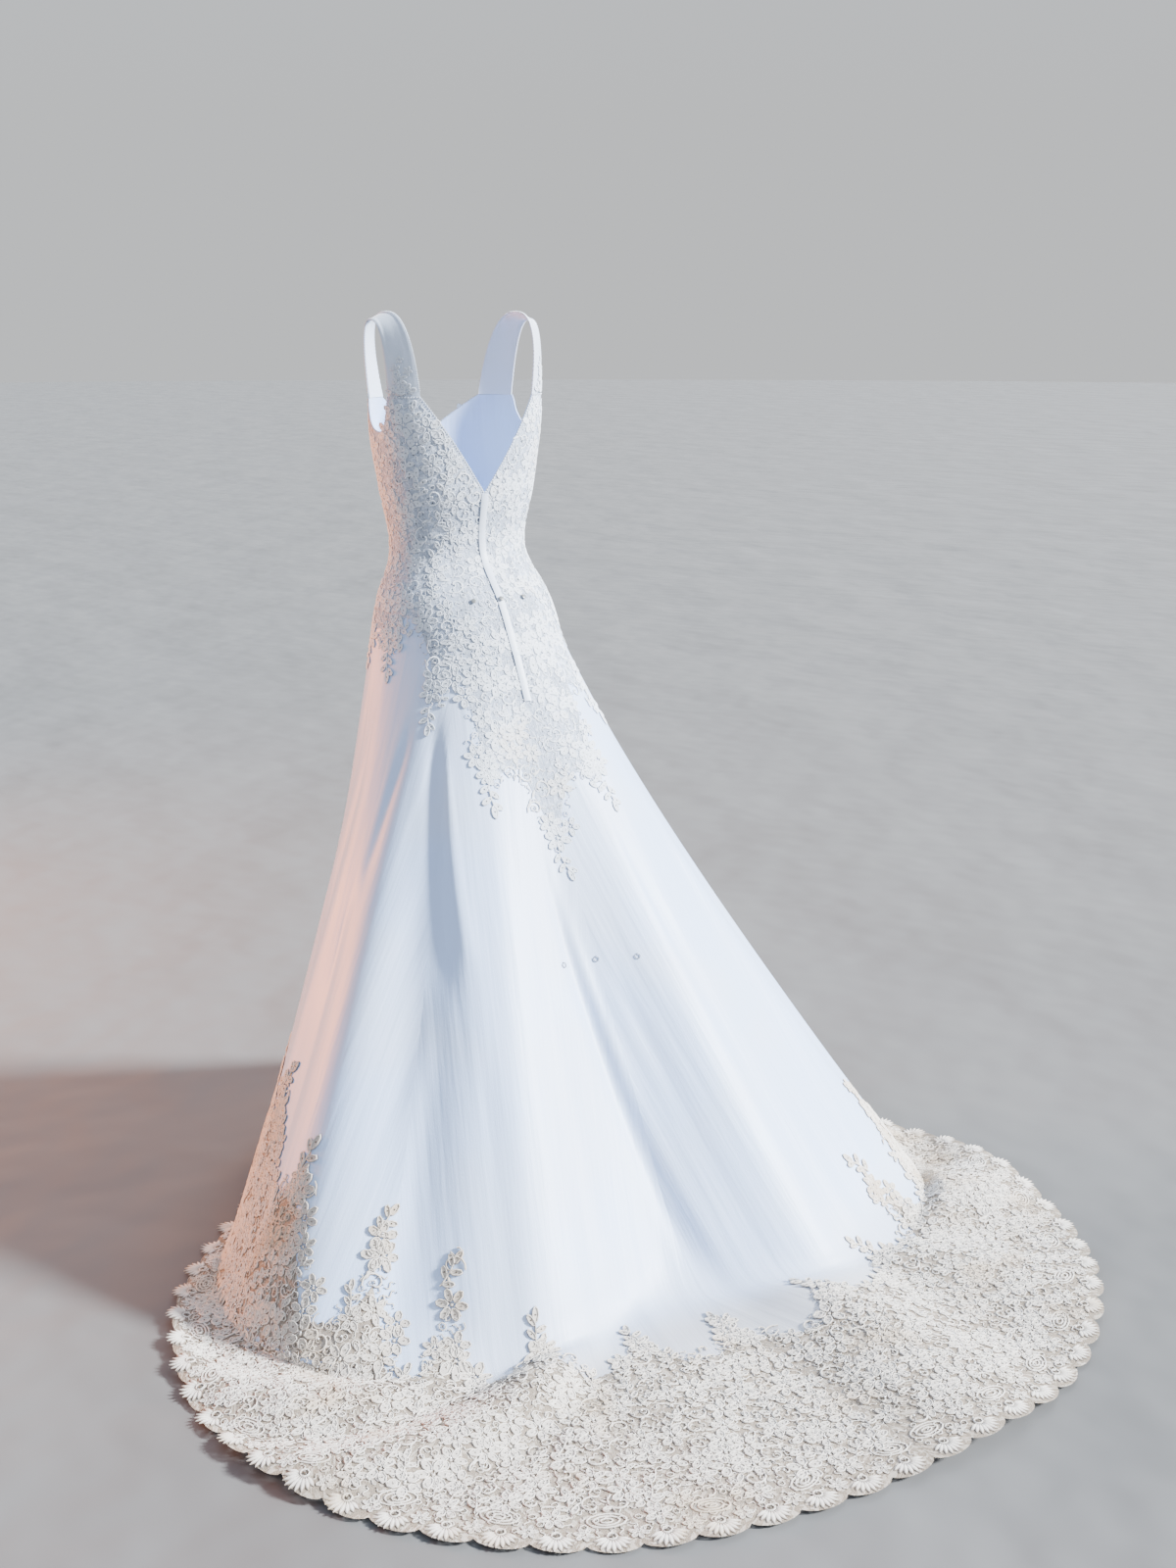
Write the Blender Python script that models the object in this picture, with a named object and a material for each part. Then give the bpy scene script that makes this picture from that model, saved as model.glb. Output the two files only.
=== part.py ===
"""Sleeveless A-line wedding dress with a low V back, a long floor train and lace on its bodice and hem.

Metres, +Z up, +X to the wearer's left, -Y to the front. The origin is where the dress is held: midway
between the tops of the two straps. The floor is FLOOR_Z below it, and the train runs along +Y.

Every cloth piece is a thin wall on one surface, placed by two numbers. The column counts round the body
from centre back: 0 at centre back, 13 at the wearer's left side, 22 at centre front, and minus for the
right. The fall is 0 at the hips, negative above them, 1 where the skirt reaches the floor and 2 at the
edge of the lace on the train. All pieces share these points, so cloth that lies on cloth follows it.
"""

from collections import namedtuple

import bmesh
import bpy
import numpy as np
from mathutils import Vector

# Heights, from the strap tops
FLOOR_Z = -1.42
STRAP_SEAM_Z = -0.124
FRONT_SEAM_Z = -0.130
BACK_V_Z = -0.278
FRONT_V_Z = -0.200
WAIST_Z = -0.378
HIP_Z = -0.530
ZIP_END_Z = -0.600
BUTTON_Z = -0.446

# Thicknesses and gaps
SATIN = 0.0016
LACE = 0.0010
STRAP = 0.0020
LAP = 0.0010
GAP = 0.0003

# Trim
STRAP_TOP_WIDTH = 0.028
STRAP_TOP_X = 0.133
STRAP_SLOPE = 0.012
STRAP_ROUNDING = 2 / 2.6
LAP_WIDTH = 0.012
BUTTON_WIDTH = 0.009
BUTTON_HEIGHT = 0.005
BUTTON_COLUMN = 3.6
LOOP_RADIUS = 0.0042
THREAD_RADIUS = 0.0007
LOOP_STANDOFF = 0.0012
LOOP_COLUMN = 1.5
LOOP_FALL = 0.50
SCALLOP_DEPTH = 0.013
LACE_BEYOND_HEM = 0.042

# How the skirt meets the floor
FLARE = 0.15
BEND = 0.045
TRAIN_TURN = 4.0

# Sections of the torso: half width, and how far it reaches back and front of its own centre
Ring = namedtuple("Ring", "z half_width back front centre_y squareness")
TORSO = (
    Ring(-0.090, 0.148, 0.078, 0.088, 0.012, 2.5),
    Ring(-0.180, 0.141, 0.090, 0.120, 0.012, 2.4),
    Ring(-0.270, 0.129, 0.088, 0.108, 0.010, 2.3),
    Ring(-0.378, 0.117, 0.084, 0.084, 0.006, 2.1),
    Ring(-0.450, 0.146, 0.132, 0.094, 0.014, 2.1),
    Ring(-0.530, 0.166, 0.172, 0.108, 0.020, 2.0),
)

# How far the skirt reaches from the body's axis, by degrees from centre back
Reach = namedtuple("Reach", "angle floor_line lace_edge")
REACH = (
    Reach(0, 0.700, 1.225),
    Reach(20, 0.800, 1.210),
    Reach(40, 0.825, 1.065),
    Reach(60, 0.670, 0.770),
    Reach(75, 0.460, 0.497),
    Reach(90, 0.358, 0.378),
    Reach(115, 0.312, 0.328),
    Reach(150, 0.305, 0.322),
    Reach(180, 0.320, 0.338),
)

# The seams between panels: the column, and its angle at the bust, the waist and the floor
Seam = namedtuple("Seam", "column bust waist floor")
SEAMS = (
    Seam(0, 0, 0, 0),
    Seam(7, 57, 34, 38),
    Seam(13, 90, 90, 80),
    Seam(17, 123, 142, 130),
    Seam(22, 180, 180, 180),
)
HALF_ROUND = 22
STRAP_BACK = (5, 10)
STRAP_FRONT = (19, 16)

# The armhole's edge between the two strap seams
Armhole = namedtuple("Armhole", "column z")
ARMHOLE = (
    Armhole(10, -0.124),
    Armhole(11, -0.152),
    Armhole(12, -0.173),
    Armhole(13, -0.180),
    Armhole(14, -0.174),
    Armhole(15, -0.156),
    Armhole(16, -0.130),
)

# Where the bodice lace ends and the hem lace starts, as a fall, by degrees from centre back
LaceEdge = namedtuple("LaceEdge", "angle bodice border")
LACE_EDGE = (
    LaceEdge(0, 0.36, 1.16),
    LaceEdge(12, 0.31, 1.07),
    LaceEdge(24, 0.23, 0.93),
    LaceEdge(44, 0.12, 0.78),
    LaceEdge(60, 0.05, 0.69),
    LaceEdge(90, 0.02, 0.67),
    LaceEdge(140, 0.03, 0.68),
    LaceEdge(180, 0.12, 0.69),
)

# Folds of the standing skirt. A minus depth is a trough; lean is how far its top lies from its foot.
Fold = namedtuple("Fold", "foot lean width depth start")
FOLDS = (
    Fold(35, 9, 7, -0.036, 0.02),
    Fold(20, 4, 7, 0.016, 0.15),
    Fold(0, 7, 5, -0.014, 0.25),
    Fold(-13, -2, 6, 0.017, 0.20),
    Fold(-28, -4, 7, -0.020, 0.15),
    Fold(-46, -6, 7, 0.014, 0.15),
    Fold(-66, -4, 8, -0.024, 0.08),
    Fold(49, 2, 6, 0.016, 0.15),
    Fold(63, -6, 6, -0.017, 0.10),
    Fold(83, -4, 9, 0.014, 0.20),
    Fold(106, -2, 9, -0.020, 0.15),
    Fold(129, 0, 10, 0.014, 0.20),
    Fold(152, 2, 10, -0.016, 0.15),
    Fold(-92, 2, 9, 0.016, 0.20),
    Fold(-115, 2, 10, -0.020, 0.12),
    Fold(-139, 0, 10, 0.013, 0.20),
    Fold(-163, -2, 10, -0.015, 0.15),
)

# Ripples of the cloth that lies on the floor, by their angle at the floor line and at the edge
Ripple = namedtuple("Ripple", "floor_line edge width height")
RIPPLES = (
    Ripple(19, 45, 5, 0.024),
    Ripple(-11, -5, 6, 0.026),
    Ripple(-34, -47, 6, 0.030),
    Ripple(35, 60, 6, 0.014),
    Ripple(-52, -66, 6, 0.016),
    Ripple(-22, -27, 5, 0.012),
)

Cloth = namedtuple("Cloth", "points normals triangles")


def ease(share):
    """0 to 1 with a level start and end."""
    share = np.clip(share, 0.0, 1.0)
    return share * share * (3 - 2 * share)


def smooth(at, table, key, name, level_ends=True):
    """A table's column, read off a curve through its rows that has no corners."""
    rows = sorted(table, key=lambda row: getattr(row, key))
    knots = np.array([getattr(row, key) for row in rows], float)
    values = np.array([getattr(row, name) for row in rows], float)
    steps = np.diff(values) / np.diff(knots)
    ends = (0.0, 0.0) if level_ends else (steps[0], steps[-1])
    slopes = np.concatenate([[ends[0]], (steps[1:] + steps[:-1]) / 2, [ends[1]]])
    at = np.clip(at, knots[0], knots[-1])
    i = np.clip(np.searchsorted(knots, at, side="right") - 1, 0, len(knots) - 2)
    span = knots[i + 1] - knots[i]
    t = (at - knots[i]) / span
    between = values[i] * (1 + 2 * t) * (1 - t) ** 2 + values[i + 1] * t * t * (3 - 2 * t)
    return between + span * t * (1 - t) * (slopes[i] * (1 - t) - slopes[i + 1] * t)


def turned(column, level):
    """The angle of a column from centre back, in degrees, at the bust, the waist or the floor."""
    column = (np.asarray(column, float) + HALF_ROUND) % (2 * HALF_ROUND) - HALF_ROUND
    at = [seam.column for seam in SEAMS]
    return np.sign(column) * np.interp(np.abs(column), at, [getattr(seam, level) for seam in SEAMS])


def fall_of(z):
    return (z - HIP_Z) / (FLOOR_Z - HIP_Z)


def torso(column, z):
    """The outside of the bodice: rounded sections, with the seams drawn in towards the waist."""
    bust = turned(column, "bust")
    drawn = ease((STRAP_SEAM_Z - z) / (STRAP_SEAM_Z - WAIST_Z))
    angle = np.radians(bust + (turned(column, "waist") - bust) * drawn)
    half_width, back, front, centre_y, squareness = (
        smooth(z, TORSO, "z", name, level_ends=False) for name in Ring._fields[1:]
    )
    power = 2 / squareness
    across = np.sign(np.sin(angle)) * np.abs(np.sin(angle)) ** power
    along = np.sign(np.cos(angle)) * np.abs(np.cos(angle)) ** power
    return np.stack([half_width * across, centre_y + np.where(along > 0, back, front) * along, z], -1)


def reaches(column):
    """How far out a column meets the floor, and how far its lace edge lies, with the train turned."""
    angle = turned(column, "floor")
    away = np.abs(angle - TRAIN_TURN * (1 + np.cos(np.radians(angle))) / 2)
    return smooth(away, REACH, "angle", "floor_line"), smooth(away, REACH, "angle", "lace_edge")


def fold_depth(angle, fall):
    depth = np.zeros(np.broadcast(angle, fall).shape)
    for fold in FOLDS:
        away = (angle - fold.foot - fold.lean * (1 - fall) + 180) % 360 - 180
        depth = depth + fold.depth * np.exp(-((away / fold.width) ** 2)) * ease((fall - fold.start) / 0.6)
    return depth


def ripple_height(angle, fall):
    height = np.zeros(np.broadcast(angle, fall).shape)
    out = np.clip(fall - 1, 0, 1)
    for ripple in RIPPLES:
        away = angle - ripple.floor_line - (ripple.edge - ripple.floor_line) * out
        height = height + ripple.height * np.maximum(0, 1 - (away / ripple.width / 1.5) ** 2) ** 2
    return height * ease((fall - 0.92) / 0.25) * (1 - 0.45 * out)


def skirt(column, fall):
    """The outside of the skirt, from the hips down to the floor and along it."""
    hips = torso(column, HIP_Z + 0 * fall)
    angle = turned(column, "floor")
    heading = np.stack([np.sin(np.radians(angle)), np.cos(np.radians(angle)), 0 * angle], -1)
    floor_line, lace_edge = reaches(column)
    down = np.clip(fall, 0, 1)
    spread = ((1 - FLARE) * down + FLARE * down * down)[..., None]
    standing = hips + (floor_line[..., None] * heading - hips) * spread
    lying = heading * (floor_line + (lace_edge - floor_line) * np.clip(fall - 1, 0, 1))[..., None]
    point = np.where(fall[..., None] < 1, standing, lying)
    upright = ease((1.06 - fall) / 0.14)
    point = point + heading * (fold_depth(angle, fall) * upright)[..., None]
    above = (FLOOR_Z - HIP_Z) * (fall - 1)
    settled = np.where(above > BEND, above, np.where(above < -BEND, 0, (above + BEND) ** 2 / (4 * BEND)))
    point[..., 2] = FLOOR_Z + SATIN + settled + ripple_height(angle, fall)
    return point


def surface(column, fall):
    """The outside of the satin, for arrays of columns and falls."""
    column, fall = np.broadcast_arrays(np.asarray(column, float), np.asarray(fall, float))
    z = HIP_Z + (FLOOR_Z - HIP_Z) * fall
    return np.where(fall[..., None] < 0, torso(column, np.maximum(z, HIP_Z)), skirt(column, fall))


def along_column(column, fall):
    """The unit direction round the dress."""
    step = surface(column + 0.05, fall) - surface(column - 0.05, fall)
    return step / np.linalg.norm(step, axis=-1, keepdims=True)


def outward(column, fall):
    step = surface(column, fall + 0.004) - surface(column, fall - 0.004)
    normal = np.cross(along_column(column, fall), step)
    return normal / np.linalg.norm(normal, axis=-1, keepdims=True)


def neckline_z(column):
    """The height of the bodice's top edge: two straight V's, the strap seams and the armholes."""
    column = np.abs((column + HALF_ROUND) % (2 * HALF_ROUND) - HALF_ROUND)
    armhole = smooth(column, ARMHOLE, "column", "z")
    z = np.where(column > STRAP_FRONT[0], FRONT_SEAM_Z, armhole)
    for low, seam_z, corner, back in (
        (BACK_V_Z, STRAP_SEAM_Z, STRAP_BACK[0], True),
        (FRONT_V_Z, FRONT_SEAM_Z, STRAP_FRONT[0], False),
    ):
        corner_x = torso(np.array(float(corner)), np.array(seam_z))[0]
        inside = column < corner if back else column > corner
        edge = np.full(column.shape, seam_z)
        for _ in range(12):
            edge = low + (seam_z - low) * torso(column, edge)[..., 0] / corner_x
        z = np.where(inside, edge, z)
    return z


def hem_fall(column, short_of_edge):
    """The fall at a distance in from the lace's edge, measured along the cloth."""
    floor_line, lace_edge = reaches(column)
    train = lace_edge - floor_line
    slant = np.hypot(floor_line - TORSO[-1].half_width, HIP_Z - FLOOR_Z)
    return np.where(train > short_of_edge, 2 - short_of_edge / train, 1 - (short_of_edge - train) / slant)


def row_falls(column):
    """The fall of each row of points. Two rows follow the lace edges, and three keep the bend smooth."""
    top = fall_of(neckline_z(column))
    waist = fall_of(WAIST_Z)
    angle = np.abs(turned(column, "floor"))
    bodice = smooth(angle, LACE_EDGE, "angle", "bodice")
    border = smooth(angle, LACE_EDGE, "angle", "border")
    hem = hem_fall(column, LACE_BEYOND_HEM)
    rows = [top + (waist - top) * share for share in (0, 0.25, 0.5, 0.75)]
    rows += [waist + 0 * top, waist * 0.67 + 0 * top, waist * 0.33 + 0 * top, 0 * top]
    rows += [bodice * 0.5, bodice]
    last = np.minimum(0.93, border - 0.09)
    rows += [bodice + (last - bodice) * share for share in (0.25, 0.5, 0.75, 1)]
    rows += [np.minimum(1.0, border - 0.06), np.minimum(1.07, border - 0.03), border]
    rows += [np.maximum(fall, border + step) for fall, step in ((0.93, 0.03), (1.0, 0.06), (1.07, 0.09))]
    rows += [(rows[-1] + hem) / 2, hem]
    rows[17:21] = [np.minimum(row, hem - 0.012 * (4 - i)) for i, row in enumerate(rows[17:21])]
    return np.array(rows)


# Rows of points that the lace's edges follow
BODICE_LACE_ROW = 9
BORDER_ROW = 16
HEM_ROW = 21


def cloth(columns, first_row, last_row):
    """A grid of the shared points between two columns. Its side edges stop half a gap from each seam."""
    column = np.arange(columns[0], columns[1] + 1, dtype=float)
    fall = row_falls(column)[first_row : last_row + 1]
    column = np.broadcast_to(column, fall.shape)
    points, normals, sideways = surface(column, fall), outward(column, fall), along_column(column, fall)
    points[:, 0] += sideways[:, 0] * GAP / 2
    points[:, -1] -= sideways[:, -1] * GAP / 2
    return woven(points, normals)


def woven(points, normals):
    """A cloth from a grid of points, with every cell cut along the same diagonal."""
    rows, width = points.shape[:2]
    corner = (np.arange(rows - 1)[:, None] * width + np.arange(width - 1)).ravel()
    upper = np.stack([corner, corner + width + 1, corner + 1], -1)
    lower = np.stack([corner, corner + width, corner + width + 1], -1)
    triangles = np.concatenate([upper, lower])
    return Cloth(points.reshape(-1, 3), normals.reshape(-1, 3), triangles)


def scalloped(plain, columns, scallops):
    """The cloth with equal scallops along its last row, four points to each."""
    count = 4 * scallops
    tries = np.linspace(columns[0], columns[1], 20 * (columns[1] - columns[0]) + 1)
    steps = np.linalg.norm(np.diff(surface(tries, 2.0), axis=0), axis=-1)
    run = np.append(0, np.cumsum(steps))
    column = np.interp(run[-1] * np.arange(count + 1) / count, run, tries)
    swell = np.tile((0, 0.8, 1, 0.8), scallops)
    short = SCALLOP_DEPTH * (1 - np.append(swell, 0))
    fall = hem_fall(column, short)
    edge, sideways = surface(column, fall), along_column(column, fall)
    edge[0] += sideways[0] * GAP / 2
    edge[-1] -= sideways[-1] * GAP / 2
    width = columns[1] - columns[0]
    middles = (column[1:] + column[:-1]) / 2
    near, far = len(plain.points) - width - 1, len(plain.points)
    triangles = []
    i = j = 0
    while i < width or j < count:
        if j < count and (i == width or middles[j] < columns[0] + i + 0.5):
            triangles.append((near + i, far + j, far + j + 1))
            j += 1
        else:
            triangles.append((near + i, far + j, near + i + 1))
            i += 1
    return Cloth(
        np.concatenate([plain.points, edge]),
        np.concatenate([plain.normals, outward(column, fall)]),
        np.concatenate([plain.triangles, triangles]),
    )


def add_material(obj, color, roughness):
    material = bpy.data.materials.new(obj.name)
    material.use_nodes = True
    shader = material.node_tree.nodes["Principled BSDF"]
    shader.inputs["Base Color"].default_value = (*color, 1)
    shader.inputs["Roughness"].default_value = roughness
    obj.data.materials.append(material)


def put_in(obj):
    """Moves the object into a collection of its own name."""
    for collection in list(obj.users_collection):
        collection.objects.unlink(obj)
    collection = bpy.data.collections.new(obj.name)
    bpy.context.scene.collection.children.link(collection)
    collection.objects.link(obj)


def wall(name, piece, inner, outer, color, roughness):
    """A closed body between two distances out from a cloth, with a rim round its free edges."""
    count = len(piece.points)
    edges = {}
    for a, b, c in piece.triangles.tolist():
        for start, end in ((a, b), (b, c), (c, a)):
            if (end, start) in edges:
                del edges[end, start]
            else:
                edges[start, end] = True
    outside = piece.triangles.tolist()
    inside = (piece.triangles[:, ::-1] + count).tolist()
    vertices = np.concatenate([piece.points + piece.normals * outer, piece.points + piece.normals * inner])
    rim = []
    for a, b in edges:
        # Both sides of a seam cut their rims from the higher outer corner, so they stay parallel.
        if piece.points[a][2] > piece.points[b][2]:
            rim += [(b, a, b + count), (a, a + count, b + count)]
        else:
            rim += [(b, a, a + count), (b, a + count, b + count)]
    mesh = bpy.data.meshes.new(name)
    mesh.from_pydata(vertices.tolist(), [], outside + inside + rim)
    mesh.update()
    body = bmesh.new()
    body.from_mesh(mesh)
    bmesh.ops.recalc_face_normals(body, faces=body.faces)
    body.to_mesh(mesh)
    body.free()
    obj = bpy.data.objects.new(name, mesh)
    bpy.context.scene.collection.objects.link(obj)
    add_material(obj, color, roughness)
    put_in(obj)
    return obj


def on_cloth(column, fall):
    """A point of the faceted satin and the normal there."""
    first = int(np.floor(column))
    across = column - first
    grid = np.array([float(first), first + 1.0])
    falls = row_falls(grid)
    between = falls[:, 0] * (1 - across) + falls[:, 1] * across
    row = int(np.searchsorted(between, fall, side="right")) - 1
    down = (fall - between[row]) / (between[row + 1] - between[row])
    a, b = surface(grid, falls[row])
    d, c = surface(grid, falls[row + 1])
    point = a + across * (b - a) + down * (c - b) if across > down else a + down * (d - a) + across * (c - d)
    normal = outward(np.array([column]), np.array([fall]))[0]
    return Vector(point), Vector(normal)


def strap_point(share, turn):
    """A point of the strap's outside. Share goes from neck edge to arm edge, and turn from back to front."""
    back = torso(STRAP_BACK[0] + (STRAP_BACK[1] - STRAP_BACK[0]) * share, STRAP_SEAM_Z + GAP + 0 * share)
    front = torso(STRAP_FRONT[0] + (STRAP_FRONT[1] - STRAP_FRONT[0]) * share, FRONT_SEAM_Z + GAP + 0 * share)
    base = np.where(np.cos(turn)[..., None] > 0, back, front)
    rise, run = np.abs(np.sin(turn)) ** STRAP_ROUNDING, np.abs(np.cos(turn)) ** STRAP_ROUNDING
    top_x = STRAP_TOP_X + STRAP_TOP_WIDTH * (share - 0.5)
    top_z = STRAP_SLOPE * (0.5 - share)
    x = base[..., 0] + (top_x - base[..., 0]) * rise
    return np.stack([x, base[..., 1] * run, base[..., 2] + (top_z - base[..., 2]) * rise], -1)


def strap(side):
    """A strap from the back seam over the shoulder to the front seam, narrowest at its top."""
    turn, share = np.meshgrid(np.linspace(0, np.pi, 13), np.linspace(0, 1, 6), indexing="ij")
    small = 0.02
    later, earlier = np.minimum(turn + small, np.pi), np.maximum(turn - small, 0)
    lengthways = strap_point(share, later) - strap_point(share, earlier)
    across = strap_point(share + small, turn) - strap_point(share - small, turn)
    normals = np.cross(lengthways, across)
    normals[[0, -1], :, 2] = 0
    normals /= np.linalg.norm(normals, axis=-1, keepdims=True)
    mirror = np.array([side, 1, 1])
    return woven(strap_point(share, turn) * mirror, normals * mirror)


def zip_lap():
    """The strip that covers the zip, from the point of the V down over the hips."""
    falls = row_falls(np.array([-1.0, 0.0, 1.0]))
    rows = [row for row in range(BODICE_LACE_ROW) if falls[row, 1] < fall_of(ZIP_END_Z)]
    grid = np.broadcast_to(np.array([-1.0, 0.0, 1.0]), (len(rows), 3))
    points = surface(grid, falls[rows])
    middle = points[:, 1]
    for edge in (0, 2):
        reach = points[:, edge] - middle
        reach /= np.linalg.norm(reach, axis=-1, keepdims=True)
        points[:, edge] = middle + reach * LAP_WIDTH / 2
    return woven(points, np.repeat(outward(grid, falls[rows])[:, 1:2], 3, axis=1))


def button(name, column, standoff):
    bpy.ops.mesh.primitive_uv_sphere_add(segments=12, ring_count=6, radius=BUTTON_WIDTH / 2)
    obj = bpy.context.object
    obj.name = obj.data.name = name
    point, normal = on_cloth(column, fall_of(BUTTON_Z))
    obj.scale.z = BUTTON_HEIGHT / BUTTON_WIDTH
    obj.rotation_euler = normal.to_track_quat("Z", "Y").to_euler()
    obj.location = point + normal * (standoff + BUTTON_HEIGHT / 2)
    bpy.ops.object.transform_apply(location=True, rotation=True, scale=True)
    add_material(obj, (0.86, 0.85, 0.82), 0.35)
    put_in(obj)


def thread_loop(name, column):
    bpy.ops.mesh.primitive_torus_add(
        major_segments=14, minor_segments=5, major_radius=LOOP_RADIUS, minor_radius=THREAD_RADIUS
    )
    obj = bpy.context.object
    obj.name = obj.data.name = name
    point, normal = on_cloth(column, LOOP_FALL)
    obj.rotation_euler = normal.to_track_quat("Z", "Y").to_euler()
    obj.location = point + normal * (THREAD_RADIUS + LOOP_STANDOFF)
    bpy.ops.object.transform_apply(location=True, rotation=True, scale=True)
    add_material(obj, (0.88, 0.87, 0.85), 0.60)
    put_in(obj)


for startup in list(bpy.data.objects):
    bpy.data.objects.remove(startup)

Panel = namedtuple("Panel", "name start end")
PANELS = (
    Panel("back_left", 0, 7),
    Panel("back_right", -7, 0),
    Panel("side_back_left", 7, 13),
    Panel("side_back_right", -13, -7),
    Panel("side_front_left", 13, 17),
    Panel("side_front_right", -17, -13),
    Panel("front", 17, 27),
)
for panel in PANELS:
    wall(panel.name, cloth((panel.start, panel.end), 0, HEM_ROW), -SATIN, 0, (0.82, 0.85, 0.90), 0.38)

wall("strap_left", strap(1), -STRAP, 0, (0.84, 0.85, 0.88), 0.40)
wall("strap_right", strap(-1), -STRAP, 0, (0.84, 0.85, 0.88), 0.40)

LACE_SKINS = (
    Panel("bodice_lace_left", 0, 13),
    Panel("bodice_lace_right", -13, 0),
    Panel("bodice_lace_front", 13, 31),
)
for skin in LACE_SKINS:
    lace = cloth((skin.start, skin.end), 0, BODICE_LACE_ROW)
    wall(skin.name, lace, GAP, GAP + LACE, (0.83, 0.81, 0.76), 0.65)

Border = namedtuple("Border", "name start end scallops")
BORDERS = (
    Border("hem_lace_left", 0, 13, 25),
    Border("hem_lace_right", -13, 0, 25),
    Border("hem_lace_front", 13, 31, 12),
)
for border in BORDERS:
    columns = (border.start, border.end)
    lace = scalloped(cloth(columns, BORDER_ROW, HEM_ROW), columns, border.scallops)
    wall(border.name, lace, GAP, GAP + LACE, (0.80, 0.75, 0.67), 0.65)

LAP_BASE = GAP + LACE + 2 * GAP
wall("zip_lap", zip_lap(), LAP_BASE, LAP_BASE + LAP, (0.84, 0.85, 0.88), 0.40)
button("button_left", BUTTON_COLUMN, GAP + LACE + 2 * GAP)
button("button_middle", 0.0, LAP_BASE + LAP + 2 * GAP)
button("button_right", -BUTTON_COLUMN, GAP + LACE + 2 * GAP)
thread_loop("loop_left", LOOP_COLUMN)
thread_loop("loop_middle", 0.0)
thread_loop("loop_right", -LOOP_COLUMN)
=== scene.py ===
# %% [markdown]
# # A sleeveless wedding dress with lace and a train
#
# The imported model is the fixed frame: it is loaded first, and no part of it moves. Each cloth of it is
# then replaced by a finer cloth on the same form, because a lace dress lives by its folds and its thread.

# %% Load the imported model
import math
from collections import namedtuple

import bpy
import numpy as np
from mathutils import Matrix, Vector


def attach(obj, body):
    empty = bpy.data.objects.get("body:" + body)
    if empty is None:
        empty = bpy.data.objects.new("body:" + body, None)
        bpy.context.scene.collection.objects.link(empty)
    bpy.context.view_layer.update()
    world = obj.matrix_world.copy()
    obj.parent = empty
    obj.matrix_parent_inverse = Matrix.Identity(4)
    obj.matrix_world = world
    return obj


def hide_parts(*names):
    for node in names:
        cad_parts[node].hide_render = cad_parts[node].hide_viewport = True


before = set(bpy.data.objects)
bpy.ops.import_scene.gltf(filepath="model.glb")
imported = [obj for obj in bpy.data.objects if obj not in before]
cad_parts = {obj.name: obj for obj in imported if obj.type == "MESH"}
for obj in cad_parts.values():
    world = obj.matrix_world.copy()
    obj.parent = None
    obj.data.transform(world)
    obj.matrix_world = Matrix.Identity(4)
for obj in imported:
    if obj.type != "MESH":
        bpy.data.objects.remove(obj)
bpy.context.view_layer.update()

# %% [markdown]
# ## Camera, light and floor
#
# The dress is seen from behind and a little from its wearer's left, from about shoulder height. A soft
# sun from the wearer's right models the folds evenly over the whole floor, and a weaker one lights the
# front. The sky is bluer overhead, as a studio ceiling is, and a small warm lamp grazes the left edge.

# %% Camera
CAMERA_PLACE = (1.492, 2.702, 0.0)
CAMERA_TURN = math.radians(33)
CAMERA_DIP = math.radians(14.27)
LENS = 42.3

look = Vector((
    -math.sin(CAMERA_TURN) * math.cos(CAMERA_DIP),
    -math.cos(CAMERA_TURN) * math.cos(CAMERA_DIP),
    -math.sin(CAMERA_DIP),
))
bpy.ops.object.camera_add(location=CAMERA_PLACE, rotation=look.to_track_quat("-Z", "Y").to_euler())
camera = bpy.context.object
camera.data.lens = LENS
bpy.context.scene.camera = camera
print("Camera looks along", [round(part, 3) for part in look])

# %% Lights
Sun = namedtuple("Sun", "name place strength spread color")
SUNS = (
    Sun("key", (-2.9, 2.3, 2.1), 19.5, 9, (0.97, 0.99, 1.0)),
    Sun("front", (-3.2, -2.4, 2.4), 2.8, 30, (0.96, 0.98, 1.0)),
)
for sun in SUNS:
    bpy.ops.object.light_add(type="SUN", location=sun.place)
    light = bpy.context.object
    light.name = sun.name
    light.rotation_euler = (-light.location).to_track_quat("-Z", "Y").to_euler()
    light.data.energy = sun.strength
    light.data.angle = math.radians(sun.spread)
    light.data.color = sun.color

WARM_PLACE, WARM_TARGET = Vector((1.9, -2.4, -0.6)), Vector((0.3, 0.0, -0.9))
WARM_SIZE = 0.8
WARM_POWER = 190
WARM_COLOR = (1.0, 0.27, 0.02)
bpy.ops.object.light_add(type="AREA", location=WARM_PLACE)
light = bpy.context.object
light.name = "warm_edge"
light.rotation_euler = (WARM_TARGET - WARM_PLACE).to_track_quat("-Z", "Y").to_euler()
light.data.size = WARM_SIZE
light.data.energy = WARM_POWER
light.data.color = WARM_COLOR

# %% Sky
HORIZON = (0.71, 0.725, 0.74)
OVERHEAD = (0.88, 1.02, 1.26)
world = bpy.data.worlds.new("studio")
world.use_nodes = True
sky = world.node_tree.nodes["Background"]
place = world.node_tree.nodes.new("ShaderNodeTexCoord")
height = world.node_tree.nodes.new("ShaderNodeSeparateXYZ")
grade = world.node_tree.nodes.new("ShaderNodeValToRGB")
grade.color_ramp.elements[0].color = (*HORIZON, 1)
grade.color_ramp.elements[1].color = (*OVERHEAD, 1)
grade.color_ramp.elements[0].position = 0.1
grade.color_ramp.elements[1].position = 0.9
world.node_tree.links.new(place.outputs["Generated"], height.inputs["Vector"])
world.node_tree.links.new(height.outputs["Z"], grade.inputs["Fac"])
world.node_tree.links.new(grade.outputs["Color"], sky.inputs["Color"])
bpy.context.scene.world = world
print(len(SUNS), "soft suns, a warm lamp and a graded sky")

# %% [markdown]
# ## Shader maths
#
# A finish is easiest to read as a formula. The class below lets Python's operators work on the sockets of
# shader nodes, and one method adds every other node: its settings first, and then its sockets.


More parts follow.
